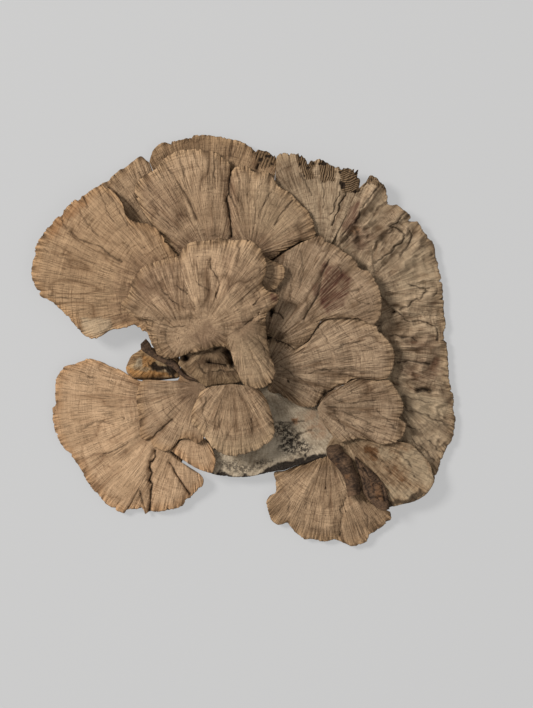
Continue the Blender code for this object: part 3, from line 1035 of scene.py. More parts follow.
    def close(self, upper: np.ndarray, lower: np.ndarray, masks: dict[str, np.ndarray]) -> Body:
        """Joins the two grids into one closed surface with its faces outwards.

        Args:
            upper: the upper grid's points, rib by rib.
            lower: the lower grid's points.
            masks: the masks of one grid.

        Returns:
            The closed surface.
        """
        columns, rows = self.x.shape
        index = self.thinned_inwards(np.arange(columns * rows).reshape(columns, rows))
        if self.whole:
            index = np.vstack([index, index[:1]])
            index[:, 0] = 0
        low = index + columns * rows
        across, along = self.thinned(len(index), 0), self.thinned(rows, 4)
        quads = [self.quads_of(index),
                 self.quads_of(low[np.unique(across)][:, np.unique(along)])[:, ::-1],
                 self.wall(index[:, -1], low[across, -1])]
        if not self.whole:
            quads += [self.wall(index[:, 0], low[across, 0])[:, ::-1],
                      self.wall(index[0], low[0, along]),
                      self.wall(index[-1], low[-1, along])[:, ::-1]]
        faces = np.vstack(quads)
        points = np.vstack([upper, lower])
        top = quads[0]
        normal = np.cross(points[top[:, 2]] - points[top[:, 0]], points[top[:, 3]] - points[top[:, 1]])
        if normal[:, 2].sum() < 0:
            faces = faces[:, ::-1]
        pattern = np.stack([self.p.reshape(-1), self.q.reshape(-1)], axis=-1)
        pattern = np.vstack([pattern, pattern + 500.0])
        both = {name: np.concatenate([mask.reshape(-1), self.under_mask(name, mask).reshape(-1)])
                for name, mask in masks.items()}
        return self.without_collapsed(points, faces, pattern, both)

    def thinned_inwards(self, index: np.ndarray) -> np.ndarray:
        """Drops ribs towards the root, where they crowd: half of them, then three in four.

        Args:
            index: the grid's point numbers, rib by rib.

        Returns:
            The grid, where a dropped rib repeats the points of the one before.
        """
        ribs = np.arange(len(index))
        for share, step in ((0.5, 2), (0.25, 4)):
            kept = np.where(ribs == len(index) - 1, ribs, ribs // step * step)
            index = np.where(self.v[None, :] < share, index[kept], index)
        return index

    @staticmethod
    def thinned(count: int, kept: int) -> np.ndarray:
        """For each of some rows, the one in three that stands for it underneath.

        Args:
            count: how many rows there are.
            kept: how many at the end are all kept.

        Returns:
            The row that each one falls back to; the last is itself.
        """
        rows = np.arange(count)
        back = rows // 3 * 3
        return np.where(rows >= count - max(kept, 1), rows, back)

    @staticmethod
    def quads_of(index: np.ndarray) -> np.ndarray:
        """The quads of a grid of point numbers."""
        corners = [index[:-1, :-1], index[1:, :-1], index[1:, 1:], index[:-1, 1:]]
        return np.stack(corners, axis=-1).reshape(-1, 4)

    @staticmethod
    def wall(upper: np.ndarray, lower: np.ndarray) -> np.ndarray:
        """The quads between two rows of point numbers, where the lower may repeat some."""
        return np.stack([upper[:-1], upper[1:], lower[1:], lower[:-1]], axis=-1)

    @staticmethod
    def under_mask(name: str, mask: np.ndarray) -> np.ndarray:
        """The underside's mask: gills all over, and no marks of the top."""
        return np.ones_like(mask) if name == "gill" else np.zeros_like(mask)

    def without_collapsed(self, points: np.ndarray, faces: np.ndarray, pattern: np.ndarray,
                          masks: dict[str, np.ndarray]) -> Body:
        """Drops unused points and turns quads that have lost a side into triangles.

        Args:
            points: all points.
            faces: four point numbers a face, where some may be alike.
            pattern: each point's place on the fibre map.
            masks: each point's masks.

        Returns:
            The surface, with no face of less than three corners.
        """
        if len(self.root) == 1 and not self.whole:
            columns, rows = self.x.shape
            half = columns * rows
            faces = faces.copy()
            for offset in (0, half):
                same = np.isin(faces, np.arange(columns) * rows + offset)
                faces[same] = offset
        rolled = np.roll(faces, -1, axis=1)
        alike = faces == rolled
        quads = faces[~alike.any(axis=1)]
        short = alike.sum(axis=1) == 1
        rest, where = faces[short], alike[short].argmax(axis=1)
        keep = np.ones(rest.shape, bool)
        keep[np.arange(len(rest)), where] = False
        triangles = rest[keep].reshape(-1, 3)
        used = np.unique(np.concatenate([quads.reshape(-1), triangles.reshape(-1)]))
        renumber = np.zeros(len(points), np.int64)
        renumber[used] = np.arange(len(used))
        return Body(points[used], renumber[quads], renumber[triangles], pattern[used],
                    {name: mask[used] for name, mask in masks.items()})

    def build(self) -> bpy.types.Object:
        """Makes the piece, dresses it and puts it in the place of its node.

        Returns:
            The finished object.
        """
        body = self.surface()
        piece = body.to_object(self.name + "_skin")
        piece.data.materials.append(self.finish.material())
        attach(piece, "root")
        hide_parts(self.name)
        faces = len(body.quads) + len(body.triangles)
        log.info("%s: %d points, %d faces", self.name, len(body.points), faces)
        return piece


@dataclass
class TornPiece(Cap):
    """A piece that is broken rather than grown to an edge: rough all over, with no fibres or warm rim."""

    rough: float = 0.8
    lump_mm: float = 3.0
    teeth: float = 0.25

    def relief(self) -> np.ndarray:
        """Lumps and crumbs: noise in three sizes, with splits along the pattern's long way.

        Returns:
            The height in millimetres.
        """
        x, y = self.x * STEP_MM / self.lump_mm, self.y * STEP_MM / self.lump_mm
        lumps = self.rough * Grain.crumb(x, y, self.seed * 20)
        split = 1.0 - np.sqrt(np.abs(Grain.noise(self.p / 1.7, self.q / 7.0, self.seed * 20 + 4)) + 1e-4)
        # The splits, whose depth the finish also paints as shade.
        self.shaded_valley = split ** 2
        self.rim_groove = np.zeros_like(self.x)
        border = smooth(0.0, 1.5, self.to_rim)
        return (0.5 * lumps - 0.5 * self.rough * self.shaded_valley) * (0.3 + 0.7 * border)


class Tier:
    """Pieces that lie at one level and are built together."""

    def parts(self) -> tuple[Cap, ...]:
        """The tier's pieces, in the order in which they are built."""
        raise NotImplementedError

    def build(self) -> list[bpy.types.Object]:
        """Makes the tier's pieces.

        Returns:
            The finished pieces.
        """
        return [part.build() for part in self.parts()]


@dataclass(frozen=True)
class UpperTier(Tier):
    """The caps at the back: the left cap, the crown and the three low ones behind them."""

    tan: FleshFinish = FleshFinish("tan_skin", **TAN)
    warm: FleshFinish = FleshFinish("warm_skin", **WARM)
    grey: FleshFinish = FleshFinish("grey_skin", **GREY)
    low: FleshFinish = FleshFinish("low_skin", light=linear(178, 147, 114), dark=linear(112, 88, 65),
                                   rim=linear(170, 138, 102))

    def left_cap(self) -> Cap:
        """The large cap at the left, with a frayed warm rim."""
        return Cap(
            name="left_cap", finish=self.warm, whole=True, seed=1,
            rim=((179, 256), (171, 246), (158, 229), (150, 224), (131, 219), (126, 214), (121, 200),
                 (112, 190), (101, 184), (90, 190), (83, 195), (75, 198), (66, 206), (59, 214), (47, 227),
                 (36, 243), (32, 262), (31, 278), (40, 296), (53, 304), (66, 316), (80, 332), (87, 338),
                 (94, 339.5), (102, 336), (110, 331), (127, 328), (134, 326), (143, 333), (160, 336),
                 (178, 333), (183, 306), (183, 280)),
            root=((142, 288),), root_top=(17.5,),
            rim_top=(18.5, 16.5, 14, 12, 9.5, 8.5, 8, 8.5, 10, 12.5, 18, 21, 21, 18.5),
            thick=(3.2, 1.8), dome=0.5,
            folds=((((72, 232), (82, 240), (100, 248), (122, 262)), -0.8, 2.5),
                   (((45, 270), (80, 275), (120, 285)), 0.9, 5.0)),
            focus=(187, 300), facing=(-1.0, -0.3), rings=0.13, teeth=0.95, wrinkle=0.33, fibre=0.7,
            creases=(Crease(((72, 232), (82, 240), (100, 248), (112, 256), (122, 262)), 0.6, 0.5),
                     Crease(((80, 200), (84, 205), (90, 210)), 0.5, 0.4),
                     Crease(((84, 197), (88, 207)), 0.9, 0.5, 0.4),
                     Crease(((60, 212), (64, 222), (68, 228)), 0.5, 0.4),
                     Crease(((44, 250), (56, 255), (70, 262)), 0.25, 0.4),
                     Crease(((99, 190), (105, 206), (113, 222)), 0.35, 0.35),
                     Crease(((108, 192), (118, 208), (128, 226)), 0.3, 0.35),
                     Crease(((76, 204), (86, 222), (98, 236)), 0.3, 0.35),
                     Crease(((48, 296), (64, 298), (84, 300)), 0.2, 0.4)),
            # Painted shade on the right side, where the higher centre cap overhangs it.
            marks=(Mark("stain_and_shade", ((120, 262), (146, 246), (186, 266), (150, 292), (134, 330), (112, 322),
                                  (112, 290)), 5.0, 0.28, 3.0),
                   Mark("pale", ((80, 318), (110, 319), (112, 329), (96, 337), (84, 333)), 1.5, 0.6),
                   Mark("rust", ((48, 228), (60, 214), (84, 196), (90, 202), (66, 222), (52, 240)), 1.5,
                        0.5)),
        )

    def shoulder_cap(self) -> Cap:
        """The low cap that shows between the left cap and the crown."""
        return Cap(
            name="shoulder_cap", finish=self.tan, seed=2,
            rim=((100, 198), (98, 186), (107, 180), (121, 168), (129, 164), (136, 158), (141, 155.5),
                 (149.2, 162)),
            root=((203, 345), (209, 327)), root_top=(8.4, 8.4), rim_top=(5, 4.5, 5),
            thick=(3, 1.8), dome=0.3, focus=(185, 270), facing=(-0.6, -1.0), teeth=0.6,
            creases=(Crease(((108, 186), (116, 194), (122, 204)), 0.4, 0.4),),
        )

    def back_cap(self) -> Cap:
        """The low cap behind the crown, with a torn end at the right."""
        return Cap(
            name="back_cap", finish=self.low, seed=3,
            rim=((149, 161), (153, 149), (161, 142), (168, 141.5), (181, 139), (191, 135), (209, 134.5),
                 (226, 137), (239, 140), (249, 145), (254, 148), (264, 149), (271, 153), (276, 156),
                 (276.5, 163)),
            root=((214, 316), (232, 308), (260, 302)), root_top=(8.4, 8.4),
            rim_top=(5, 4.5, 4.5, 5, 6, 6.5, 6.5), thick=(3, 1.8), dome=0.2,
            focus=(215, 255), facing=(0.0, -1.0), teeth=0.9,
            plates=(Plates(((251, 146), (278, 152), (279, 166), (262, 168), (256, 160)), (1.0, 0.4), 1.6,
                           0.7),),
            creases=(Crease(((257, 168), (259, 164)), 1.2, 0.7, 0.2),
                     Crease(((254, 148), (256, 153), (254, 158)), 0.6, 0.35),
                     Crease(((260, 149), (261, 154), (260, 160)), 0.6, 0.35),
                     Crease(((266, 151), (266, 156), (268, 161)), 0.6, 0.35),
                     Crease(((271, 153), (270, 158)), 0.6, 0.3),
                     Crease(((232, 139), (231, 148), (229, 160)), 0.5, 0.4)),
        )

    def crown_cap(self) -> Cap:
        """The two-lobed cap in the middle of the back."""
        return Cap(
            name="crown_cap", finish=self.tan, whole=True, seed=4,
            rim=((162, 238), (150, 222), (142, 210), (136, 198), (134, 187), (142, 176), (156, 168),
                 (160.5, 162), (170.5, 153), (178, 150), (192, 148), (210.5, 149), (222, 156), (229, 160.5),
                 (231.5, 171), (235, 166.5), (248, 166), (254, 171), (268, 171), (275.5, 180), (279, 185.5),
                 (292, 193), (303, 205.5), (310, 211), (314.5, 224.5), (316.5, 235.5), (301, 241.5),
                 (286, 250.5), (272, 260), (259, 270), (250, 290), (198, 292), (182, 268)),
            root=((232, 248),), root_top=(15,),
            rim_top=(14, 11.5, 10, 10, 10, 10.5, 11, 11, 11.5, 13.5, 17, 17, 16.5, 14),
            thick=(3.4, 1.8), dome=0.3,
            folds=((((231, 168), (229, 192), (230, 213), (232, 237)), -1.6, 4.0),
                   (((163, 162), (177, 180), (193, 208), (196, 220)), -0.7, 2.5),
                   (((205, 155), (207, 190), (212, 230)), 0.9, 6.0),
                   (((262, 178), (255, 205), (248, 240)), 0.9, 6.0)),
            focus=(214, 268), facing=(0.0, -1.0), teeth=0.7, wrinkle=0.5,
            # Painted light on the right lobe, making paler a slope that the lamps leave darker.
            marks=(Mark("pale", ((248, 178), (272, 180), (298, 206), (304, 226), (268, 236), (246, 214)),
                        6.0, 0.45, 4.0),
                   # Painted shade on the crown round the higher centre cap's rim.
                   Mark("stain_and_shade", ((152, 248), (176, 244), (190, 232), (236, 228), (266, 238), (284, 262),
                                  (250, 290), (190, 290)), 4.0, 0.3, 2.0),
                   Mark("stain_and_shade", ((140, 180), (170, 176), (184, 214), (176, 236), (150, 214)), 4.0, 0.2,
                        4.0),
                   # Darker along the fold between the two lobes.
                   Mark("stain_and_shade", ((226, 176), (236, 176), (238, 238), (226, 238)), 2.0, 0.25, 2.0)),
            lobes=(Lobe(((232, 158), (229.5, 178), (229, 192), (226.5, 202), (229.5, 213), (231, 225),
                         (232, 237), (236, 262), (262, 290), (334, 250), (326, 200), (280, 160)), (250, 256),
                        (0.5, -1.0)),),
            creases=(Crease(((231, 168), (229.5, 178), (229, 192), (226.5, 202), (229.5, 213), (231, 225),
                             (232, 237)), 0.9, 0.6, 0.6),
                     Crease(((229, 192), (233, 202), (235.5, 207)), 0.6, 0.4, 0.6),
                     Crease(((163, 162), (170.5, 172), (177, 180.5), (182, 189.5), (188.5, 199.5),
                             (193, 208), (196, 219.5)), 0.55, 0.45, 0.8),
                     Crease(((293, 201), (288, 206), (281, 215), (275, 224)), 0.5, 0.45),
                     Crease(((146, 186), (156, 196), (166, 206)), 0.35, 0.4),
                     Crease(((178, 152), (182, 166), (186, 178)), 0.35, 0.35),
                     Crease(((216, 160), (214, 176), (216, 190)), 0.35, 0.35),
                     Crease(((238, 170), (240, 186), (238, 204)), 0.4, 0.35),
                     Crease(((264, 176), (259, 192), (254, 206)), 0.35, 0.35),
                     Crease(((276, 186), (266, 202), (258, 218)), 0.35, 0.35),
                     Crease(((150, 206), (164, 220), (180, 232)), 0.35, 0.35),
                     Crease(((192, 150), (197, 162), (202, 172)), 0.3, 0.4),
                     Crease(((252, 172), (250, 184), (248, 196)), 0.35, 0.4)),
        )

    def curled_cap(self) -> Cap:
        """The cap whose lip curls up and shows its gills."""
        return Cap(
            name="curled_cap", finish=self.grey, seed=5,
            rim=((276.4, 163), (276.9, 155), (281, 152), (289, 152), (299, 153), (310, 160), (320, 158),
                 (332, 164), (344.5, 166), (350, 168), (359, 167), (358, 175.5), (360.5, 180), (359, 189)),
            root=((266.4, 303), (284, 304), (300, 307)), root_top=(7.6, 7.6),
            rim_top=(6.5, 9.5, 10, 10, 10.5, 10.5, 9), thick=(3, 3.6), bend=5,
            focus=(322, 262), facing=(0.0, -1.0), spacing=0.26, rows_apart=0.3, teeth=1.5,
            plates=(Plates(((296, 154), (314, 158), (313, 169), (299, 168)), (1.0, 0.3)),
                    Plates(((302, 169), (313, 168), (314, 179), (304, 178)), (1.0, -0.2)),
                    Plates(((317, 157), (335, 162), (335, 181), (320, 182)), (1.0, 0.15)),
                    Plates(((337, 164), (362, 164), (362, 194), (342, 192)), (0.25, 1.0))),
            creases=(Crease(((347, 192), (341, 204), (335.5, 217), (331.5, 225.5)), 0.8, 0.5),
                     Crease(((341, 192), (336, 203), (331, 214)), 0.5, 0.4),
                     Crease(((300, 172), (306, 184), (312, 196)), 0.4, 0.4),
                     Crease(((322, 182), (324, 196), (323, 208)), 0.4, 0.4)),
        )

    def parts(self) -> tuple[Cap, ...]:
        """The tier's pieces."""
        return (self.left_cap(), self.shoulder_cap(), self.back_cap(), self.crown_cap(), self.curled_cap())


@dataclass(frozen=True)
class RightTier(Tier):
    """The long wrinkled cap at the right and the peeled one at its lower end."""

    grey: FleshFinish = FleshFinish("wrinkled_skin", **GREY)
    peeled: FleshFinish = FleshFinish("peeled_skin", light=linear(182, 156, 124), dark=linear(128, 102, 76),
                                      rim=linear(170, 146, 115), pale=linear(174, 154, 126),
                                      stain_and_shade=linear(104, 72, 46))

    def right_cap(self) -> Cap:
        """The long cap, folded across its length."""
        return Cap(
            name="right_cap", finish=self.grey, seed=6, focus=(318, 345), facing=(1.0, 0.0),
            lobes=(Lobe(((320, 262), (350, 150), (420, 205), (400, 222), (372, 247)), (322, 268),
                        (0.6, -0.8)),
                   Lobe(((372, 247), (400, 222), (420, 205), (470, 220), (470, 318), (398, 314), (376, 290)),
                        (350, 300), (0.8, -0.5)),
                   Lobe(((396, 396), (420, 392), (470, 384), (480, 500), (380, 500), (388, 430)), (388, 392),
                        (0.8, 0.7))),
            rim=((359.3, 187), (367, 180.5), (370.5, 174.5), (379, 179), (385, 185.5), (388, 192),
                 (389, 204), (398, 204.5), (405.5, 209), (411.5, 217), (409, 220.5), (418, 221.5),
                 (424.5, 231), (434, 243), (436.5, 256), (440, 268), (443, 285.5), (444.5, 301),
                 (446.5, 324), (447, 337), (449, 358), (450, 378.5), (455, 400), (454, 409), (456.5, 421),
                 (453, 438.5), (445, 453), (441.5, 463), (435, 480)),
            root=((331.5, 243.5), (327, 258), (324, 276), (325, 300), (332, 326), (337.5, 366), (352, 412),
                  (408, 478)),
            root_top=(6.3, 6.3), rim_top=(9, 9, 7.5, 5.5, 4.5, 4, 4, 4, 4, 4.5, 5), thick=(3, 1.8),
            folds=((((378, 184), (371, 199), (360, 211), (341, 237)), 2.4, 4.0),
                   (((404, 212), (392, 222), (376, 238)), 2.2, 4.5),
                   (((404, 235), (391, 250), (372, 266)), 2.0, 5.0),
                   (((420, 240), (408, 262), (392, 278)), 1.6, 5.0),
                   (((436, 296), (418, 308), (400, 314)), 1.6, 5.5),
                   (((438, 345), (418, 346), (400, 350)), 1.6, 6.0),
                   (((440, 382), (424, 378), (402, 372)), 1.4, 5.0),
                   (((432, 391), (418, 389)), -2.0, 4.0),
                   (((445, 430), (425, 415), (408, 405)), 1.2, 6.0),
                   (((361, 240), (350, 228)), -1.5, 5.0)),
            teeth=0.9, wrinkle=0.5, crumple=1.35, fibre=0.75,
            plates=(Plates(((365, 173), (386, 178), (387, 190), (378, 186), (368, 184)), (1.0, 0.2)),),
            creases=(Crease(((378, 184.5), (375.5, 192), (371, 199), (364.5, 203), (360, 210), (358, 218),
                             (353, 223), (348, 229), (341, 237)), 0.8, 0.5),
                     Crease(((406, 211), (401, 217), (397, 222), (390, 226)), 0.9, 0.5),
                     Crease(((390, 227), (400, 229), (404, 232), (404.5, 237), (401, 243), (391, 250),
                             (385.5, 254.5), (377, 262), (370, 268)), 0.9, 0.5),
                     Crease(((410, 231), (411.5, 235.5), (410, 241), (405.5, 249), (401, 257)), 0.8, 0.5),
                     Crease(((409, 285.5), (420, 287), (430, 288)), 0.8, 0.5),
                     Crease(((424.5, 288), (427, 292), (419, 298), (409, 304.5), (400, 310)), 0.9, 0.5),
                     Crease(((439, 290), (432, 297)), 0.6, 0.4),
                     Crease(((393, 312), (401, 314.5), (408, 322), (418, 321), (428, 322), (434.5, 325.5),
                             (438, 330), (437, 339)), 0.9, 0.5),
                     Crease(((391, 335.5), (402, 337), (411, 338), (417, 341)), 0.8, 0.5),
                     Crease(((398, 362), (410, 360), (420, 361), (429, 364)), 0.9, 0.7),
                     Crease(((418, 390), (424, 389), (430, 391)), 1.6, 1.2, 0.3),
                     Crease(((405, 425), (420, 431), (433, 445), (441, 450)), 0.6, 0.45),
                     Crease(((405, 410), (420, 412), (436, 420), (448, 424)), 0.5, 0.4),
                     Crease(((411, 440), (424, 449), (434, 460)), 0.6, 0.45),
                     Crease(((404, 396), (416, 400), (430, 402)), 0.5, 0.4)),
            marks=(Mark("stain_and_shade", ((342, 226), (350, 205), (360, 200), (358, 222), (348, 238)), 1.2, 0.8),
                   Mark("rust", ((350, 228), (357, 226), (359, 233), (353, 238)), 1.2, 0.55, 2.0),
                   # Painted shade in a hole.
                   Mark("shaded_groove", ((355, 228), (359, 231), (358, 238), (355, 240)), 0.6, 0.8, 1.0),
                   Mark("stain_and_shade", ((346, 240), (360, 226), (374, 236), (362, 252)), 2.0, 0.5, 2.0),
                   Mark("stain_and_shade", ((400, 338), (432, 336), (440, 350), (412, 352)), 2.5, 0.35, 3.0),
                   # Painted light on the lower part, paler to offset the shade that falls there.
                   Mark("pale", ((410, 392), (440, 396), (450, 412), (430, 420), (408, 410)), 3.0, 1.0),
                   Mark("stain_and_shade", ((404, 356), (436, 354), (442, 372), (428, 384), (402, 374)), 3.0, 0.4,
                        3.0),
                   Mark("stain_and_shade", ((416, 357), (429, 358), (428, 364), (417, 363)), 1.0, 0.6),
                   Mark("pale", ((396, 398), (426, 396), (446, 410), (440, 456), (414, 440)), 3.5, 0.4),
                   Mark("pale", ((392, 246), (404, 232), (410, 240), (398, 256)), 1.5, 0.4),
                   Mark("pale", ((398, 250), (430, 242), (442, 292), (400, 290)), 4.0, 0.5, 3.0),
                   Mark("pale", ((380, 190), (388, 200), (384, 214), (372, 224), (368, 214)), 2.0, 0.4)),
        )

    def mottled_cap(self) -> Cap:
        """The peeled cap, pale with brown patches."""
        return TornPiece(
            name="mottled_cap", finish=self.peeled, whole=True, seed=7,
            rim=((391, 440), (408, 443), (413, 445), (423, 455), (430.5, 464), (434, 477), (434.5, 482),
                 (427, 494), (415, 501.5), (403, 504.5), (392, 507), (384, 507), (375, 501), (364, 487),
                 (354.5, 471), (344, 460), (335, 455.5), (328, 450), (336, 437), (357, 436), (375, 437)),
            root=((375, 466),), root_top=(9.6,), rim_top=(9.6, 9.6, 9.4, 9.4, 9.6, 9.6), thick=(2.4, 2),
            focus=(340, 430), facing=(1.0, 0.7), rough=0.7, lump_mm=2.4, warm_rim=0.4,
            tucks=(Tuck(((336, 437), (328, 450), (335, 455.5), (344, 460), (354.5, 471), (364, 487),
                         (375, 501), (384, 507)), 0.8),),
            creases=(Crease(((372, 452), (384, 462), (392, 474)), 0.5, 0.5),
                     Crease(((396, 450), (408, 462), (416, 476)), 0.5, 0.5)),
            marks=(Mark("stain_and_shade", ((365, 445), (380, 447), (379, 460), (368, 458)), 1.0, 0.9, 3.0),
                   Mark("stain_and_shade", ((385, 465), (400, 468), (405, 482), (392, 484)), 1.0, 0.9, 3.0),
                   Mark("stain_and_shade", ((398, 445), (410, 448), (408, 455), (399, 453)), 1.0, 0.7, 3.0),
                   # Painted shade along the lower rim.
                   Mark("shaded_groove", ((374, 500), (384, 507), (403, 504.5), (415, 501.5), (427, 494),
                                   (420, 492), (400, 499), (382, 498)), 0.6, 0.8, 3.0),
                   Mark("pale", ((396, 446), (420, 452), (432, 470), (432, 486), (414, 480), (404, 462)),
                        1.5, 0.9, 3.0),
                   Mark("pale", ((384, 486), (410, 489), (420, 496), (394, 500)), 1.2, 0.7, 3.0),
                   Mark("pale", ((378, 446), (390, 450), (392, 460), (382, 458)), 1.0, 0.6, 3.0)),
        )

    def parts(self) -> tuple[Cap, ...]:
        """The tier's pieces."""
        return (self.right_cap(), self.mottled_cap())


@dataclass(frozen=True)
class MiddleTier(Tier):
    """The three caps one over the other right of the centre."""

    tan: FleshFinish = FleshFinish("middle_skin", light=linear(190, 162, 132), dark=linear(126, 103, 80),
                                   rim=linear(178, 148, 114))

    def upper(self) -> Cap:
        """The upper one, with purple-brown stains."""
        return Cap(
            name="middle_upper_cap", finish=self.tan, seed=8,
            rim=((285, 252.2), (300.7, 243.2), (310, 239.3), (317, 236.9), (321, 236), (330, 242),
                 (345.5, 251), (355.5, 260), (362, 269.5), (368, 270.5), (376.5, 280), (382, 295.5),
                 (383, 303), (381, 318), (375, 325), (366.5, 322), (359, 318.5), (349, 318), (329, 318),
                 (321, 320), (314, 330), (307, 340.5), (298, 346), (287, 343), (276, 338), (266, 334)),
            root=((263, 268.3), (263.5, 272), (264, 276)), root_top=(16.5, 16.5),
            rim_top=(16, 15, 13.5, 13, 13, 13.5, 15, 15.5, 16, 16, 16.5), thick=(4, 1.8), dome=1,
            folds=((((316, 290), (340, 262)), 0.8, 5.0),
                   (((322, 275), (318, 295), (305, 319)), -0.9, 3.0)),
            focus=(264, 350), facing=(0.7, -0.8), wrinkle=0.55,
            tucks=(Tuck(((285, 252.2), (300.7, 243.2), (317, 236.9)), 0.9, 0.5),
                   Tuck(((349, 318), (329, 318), (321, 320), (314, 330), (307, 340.5), (298, 346),
                         (287, 343), (276, 338), (266, 334)), 0.45)),
            # A deep pit, painted nearly black as shade.
            creases=(Crease(((269, 309), (272, 312), (270.5, 316)), 2.2, 1.3, 0.6, 0.0),
                     Crease(((273, 312), (279, 313), (283, 318)), 0.8, 0.4, 0.8),
                     Crease(((329.5, 259), (325.5, 267), (322, 275.5), (320, 285.5), (318, 295.5),
                             (312, 305.5), (308, 312), (304.5, 319)), 0.7, 0.5, 0.6),
                     Crease(((363, 285.5), (358, 289.5), (351, 292)), 0.5, 0.4),
                     Crease(((286, 262), (292, 280), (290, 300)), 0.3, 0.35),
                     Crease(((300, 250), (304, 270), (300, 290)), 0.3, 0.35),
                     Crease(((345, 292), (358, 300), (372, 305)), 0.3, 0.35),
                     Crease(((337, 262), (342, 272), (340, 284)), 0.3, 0.35)),
            marks=(Mark("stain_and_shade", ((319, 300), (324, 262), (337, 265), (351, 279), (345, 306), (328, 315),
                                  (322, 308)), 1.4, 0.85, 1.5),
                   Mark("stain_and_shade", ((321, 264), (325.5, 264), (325, 275.5), (321.5, 275)), 0.8, 0.7, 0.8),
                   # Painted shade on the lower right part, where the cap turns down towards the middle cap.
                   Mark("shaded_valley", ((345, 298), (384, 292), (384, 324), (345, 320)), 3.0, 0.35, 3.0),
                   Mark("stain_and_shade", ((311, 284), (319, 282), (320, 297), (313, 296)), 1.0, 0.6, 1.0)),
        )

    def middle(self) -> Cap:
        """The middle one."""
        return Cap(
            name="middle_cap", finish=self.tan, whole=True, seed=9,
            rim=((276, 339), (287, 344), (298, 347.2), (308, 341.5), (315.2, 331), (321.8, 321.2),
                 (329.2, 319.2), (349, 319.2), (358.8, 319.8), (366, 323.4), (375, 327), (385, 336),
                 (394, 348), (395.5, 357), (393, 371), (388.5, 378), (378, 380), (368, 379), (358, 378),
                 (350, 379), (345, 383), (335, 388), (326, 392), (322, 398), (319, 404), (313, 408),
                 (300, 407), (292, 403), (280, 396), (268, 392), (263, 370), (264, 345)),
            root=((296, 364),), root_top=(16,),
            rim_top=(15, 14, 14, 13, 12.6, 12.6, 12.8, 13, 13, 13, 14, 15, 15.5), thick=(6.2, 1.8),
            folds=((((300, 352), (340, 345), (385, 352)), 0.9, 8.0),
                   (((322, 398), (345, 372)), -0.8, 4.0)),
            focus=(262, 372), facing=(1.0, -0.1), wrinkle=0.6,
            tucks=(Tuck(((264, 345), (276, 339), (287, 344), (298, 347.2), (308, 341.5), (315.2, 331),
                         (321.8, 321.2), (329.2, 319.2), (349, 319.2), (358.8, 319.8), (366, 323.4),
                         (373, 326)), 1.1, 0.35),
                   Tuck(((358, 378), (350, 379), (345, 383), (335, 388), (326, 392), (322, 398)), 0.55)),
            creases=(Crease(((275.5, 338), (279, 342), (287, 344), (293, 349)), 0.8, 0.5),
                     Crease(((298, 347), (307, 342), (311, 339)), 0.5, 0.4),
                     Crease(((318, 327), (328, 340), (336, 354)), 0.4, 0.35, 2.0),
                     Crease(((300, 353), (330, 350), (358, 341)), 0.35, 0.35, 2.0),
                     Crease(((340, 328), (355, 342), (374, 350)), 0.35, 0.35, 2.0),
                     Crease(((310, 372), (340, 368), (374, 372)), 0.35, 0.35, 2.0),
                     Crease(((280, 366), (300, 378), (316, 392)), 0.4, 0.4, 2.0),
                     Crease(((345, 383), (335, 388), (326, 392), (322, 398), (319, 404), (316, 408)), 0.7,
                            0.5),
                     Crease(((288, 380.5), (288.5, 381.5)), 1.0, 0.5, 0.0)),
        )

    def lower(self) -> Cap:
        """The lower one."""
        return Cap(
            name="middle_lower_cap", finish=self.tan, seed=10,
            rim=((327.5, 393.4), (335.7, 389.2), (345.7, 384.2), (351, 381.2), (358, 379.2), (368, 380.2),
                 (378, 381.2), (389, 379.5), (398, 391), (403, 400), (404.5, 410), (400.5, 418),
                 (406.5, 424), (403.5, 437), (396, 443), (386, 445.5), (371, 441), (360, 439), (350, 441),
                 (341, 443), (331, 434), (323, 423)),
            root=((321, 402), (317.5, 408), (319, 416)), root_top=(14, 14),
            rim_top=(14, 13.2, 12.6, 12.3, 12.2, 12.2, 12.2, 12.4, 13), thick=(4.4, 1.8), dome=0.8,
            folds=((((335, 405), (370, 400)), 0.8, 5.0),),
            focus=(314, 407), facing=(1.0, 0.1), calm_mm=8.0, wrinkle=0.6,
            tucks=(Tuck(((327.5, 393.4), (335.7, 389.2), (345.7, 384.2), (351, 381.2), (358, 379.2),
                         (368, 380.2), (378, 381.2)), 0.6),),
            creases=(Crease(((352, 392), (366, 394), (384, 392)), 0.3, 0.35),
                     Crease(((324, 402), (346, 412), (370, 424)), 0.4, 0.4, 2.0),
                     Crease(((330, 397), (352, 402), (376, 400)), 0.4, 0.4, 2.0),
                     Crease(((334, 410), (340, 424), (350, 436)), 0.35, 0.35, 2.0),
                     Crease(((376, 410), (388, 420), (396, 430)), 0.35, 0.35, 2.0),
                     Crease(((344, 420), (358, 426), (372, 434)), 0.35, 0.4)),
        )

    def parts(self) -> tuple[Cap, ...]:
        """The tier's pieces."""
        return (self.upper(), self.middle(), self.lower())


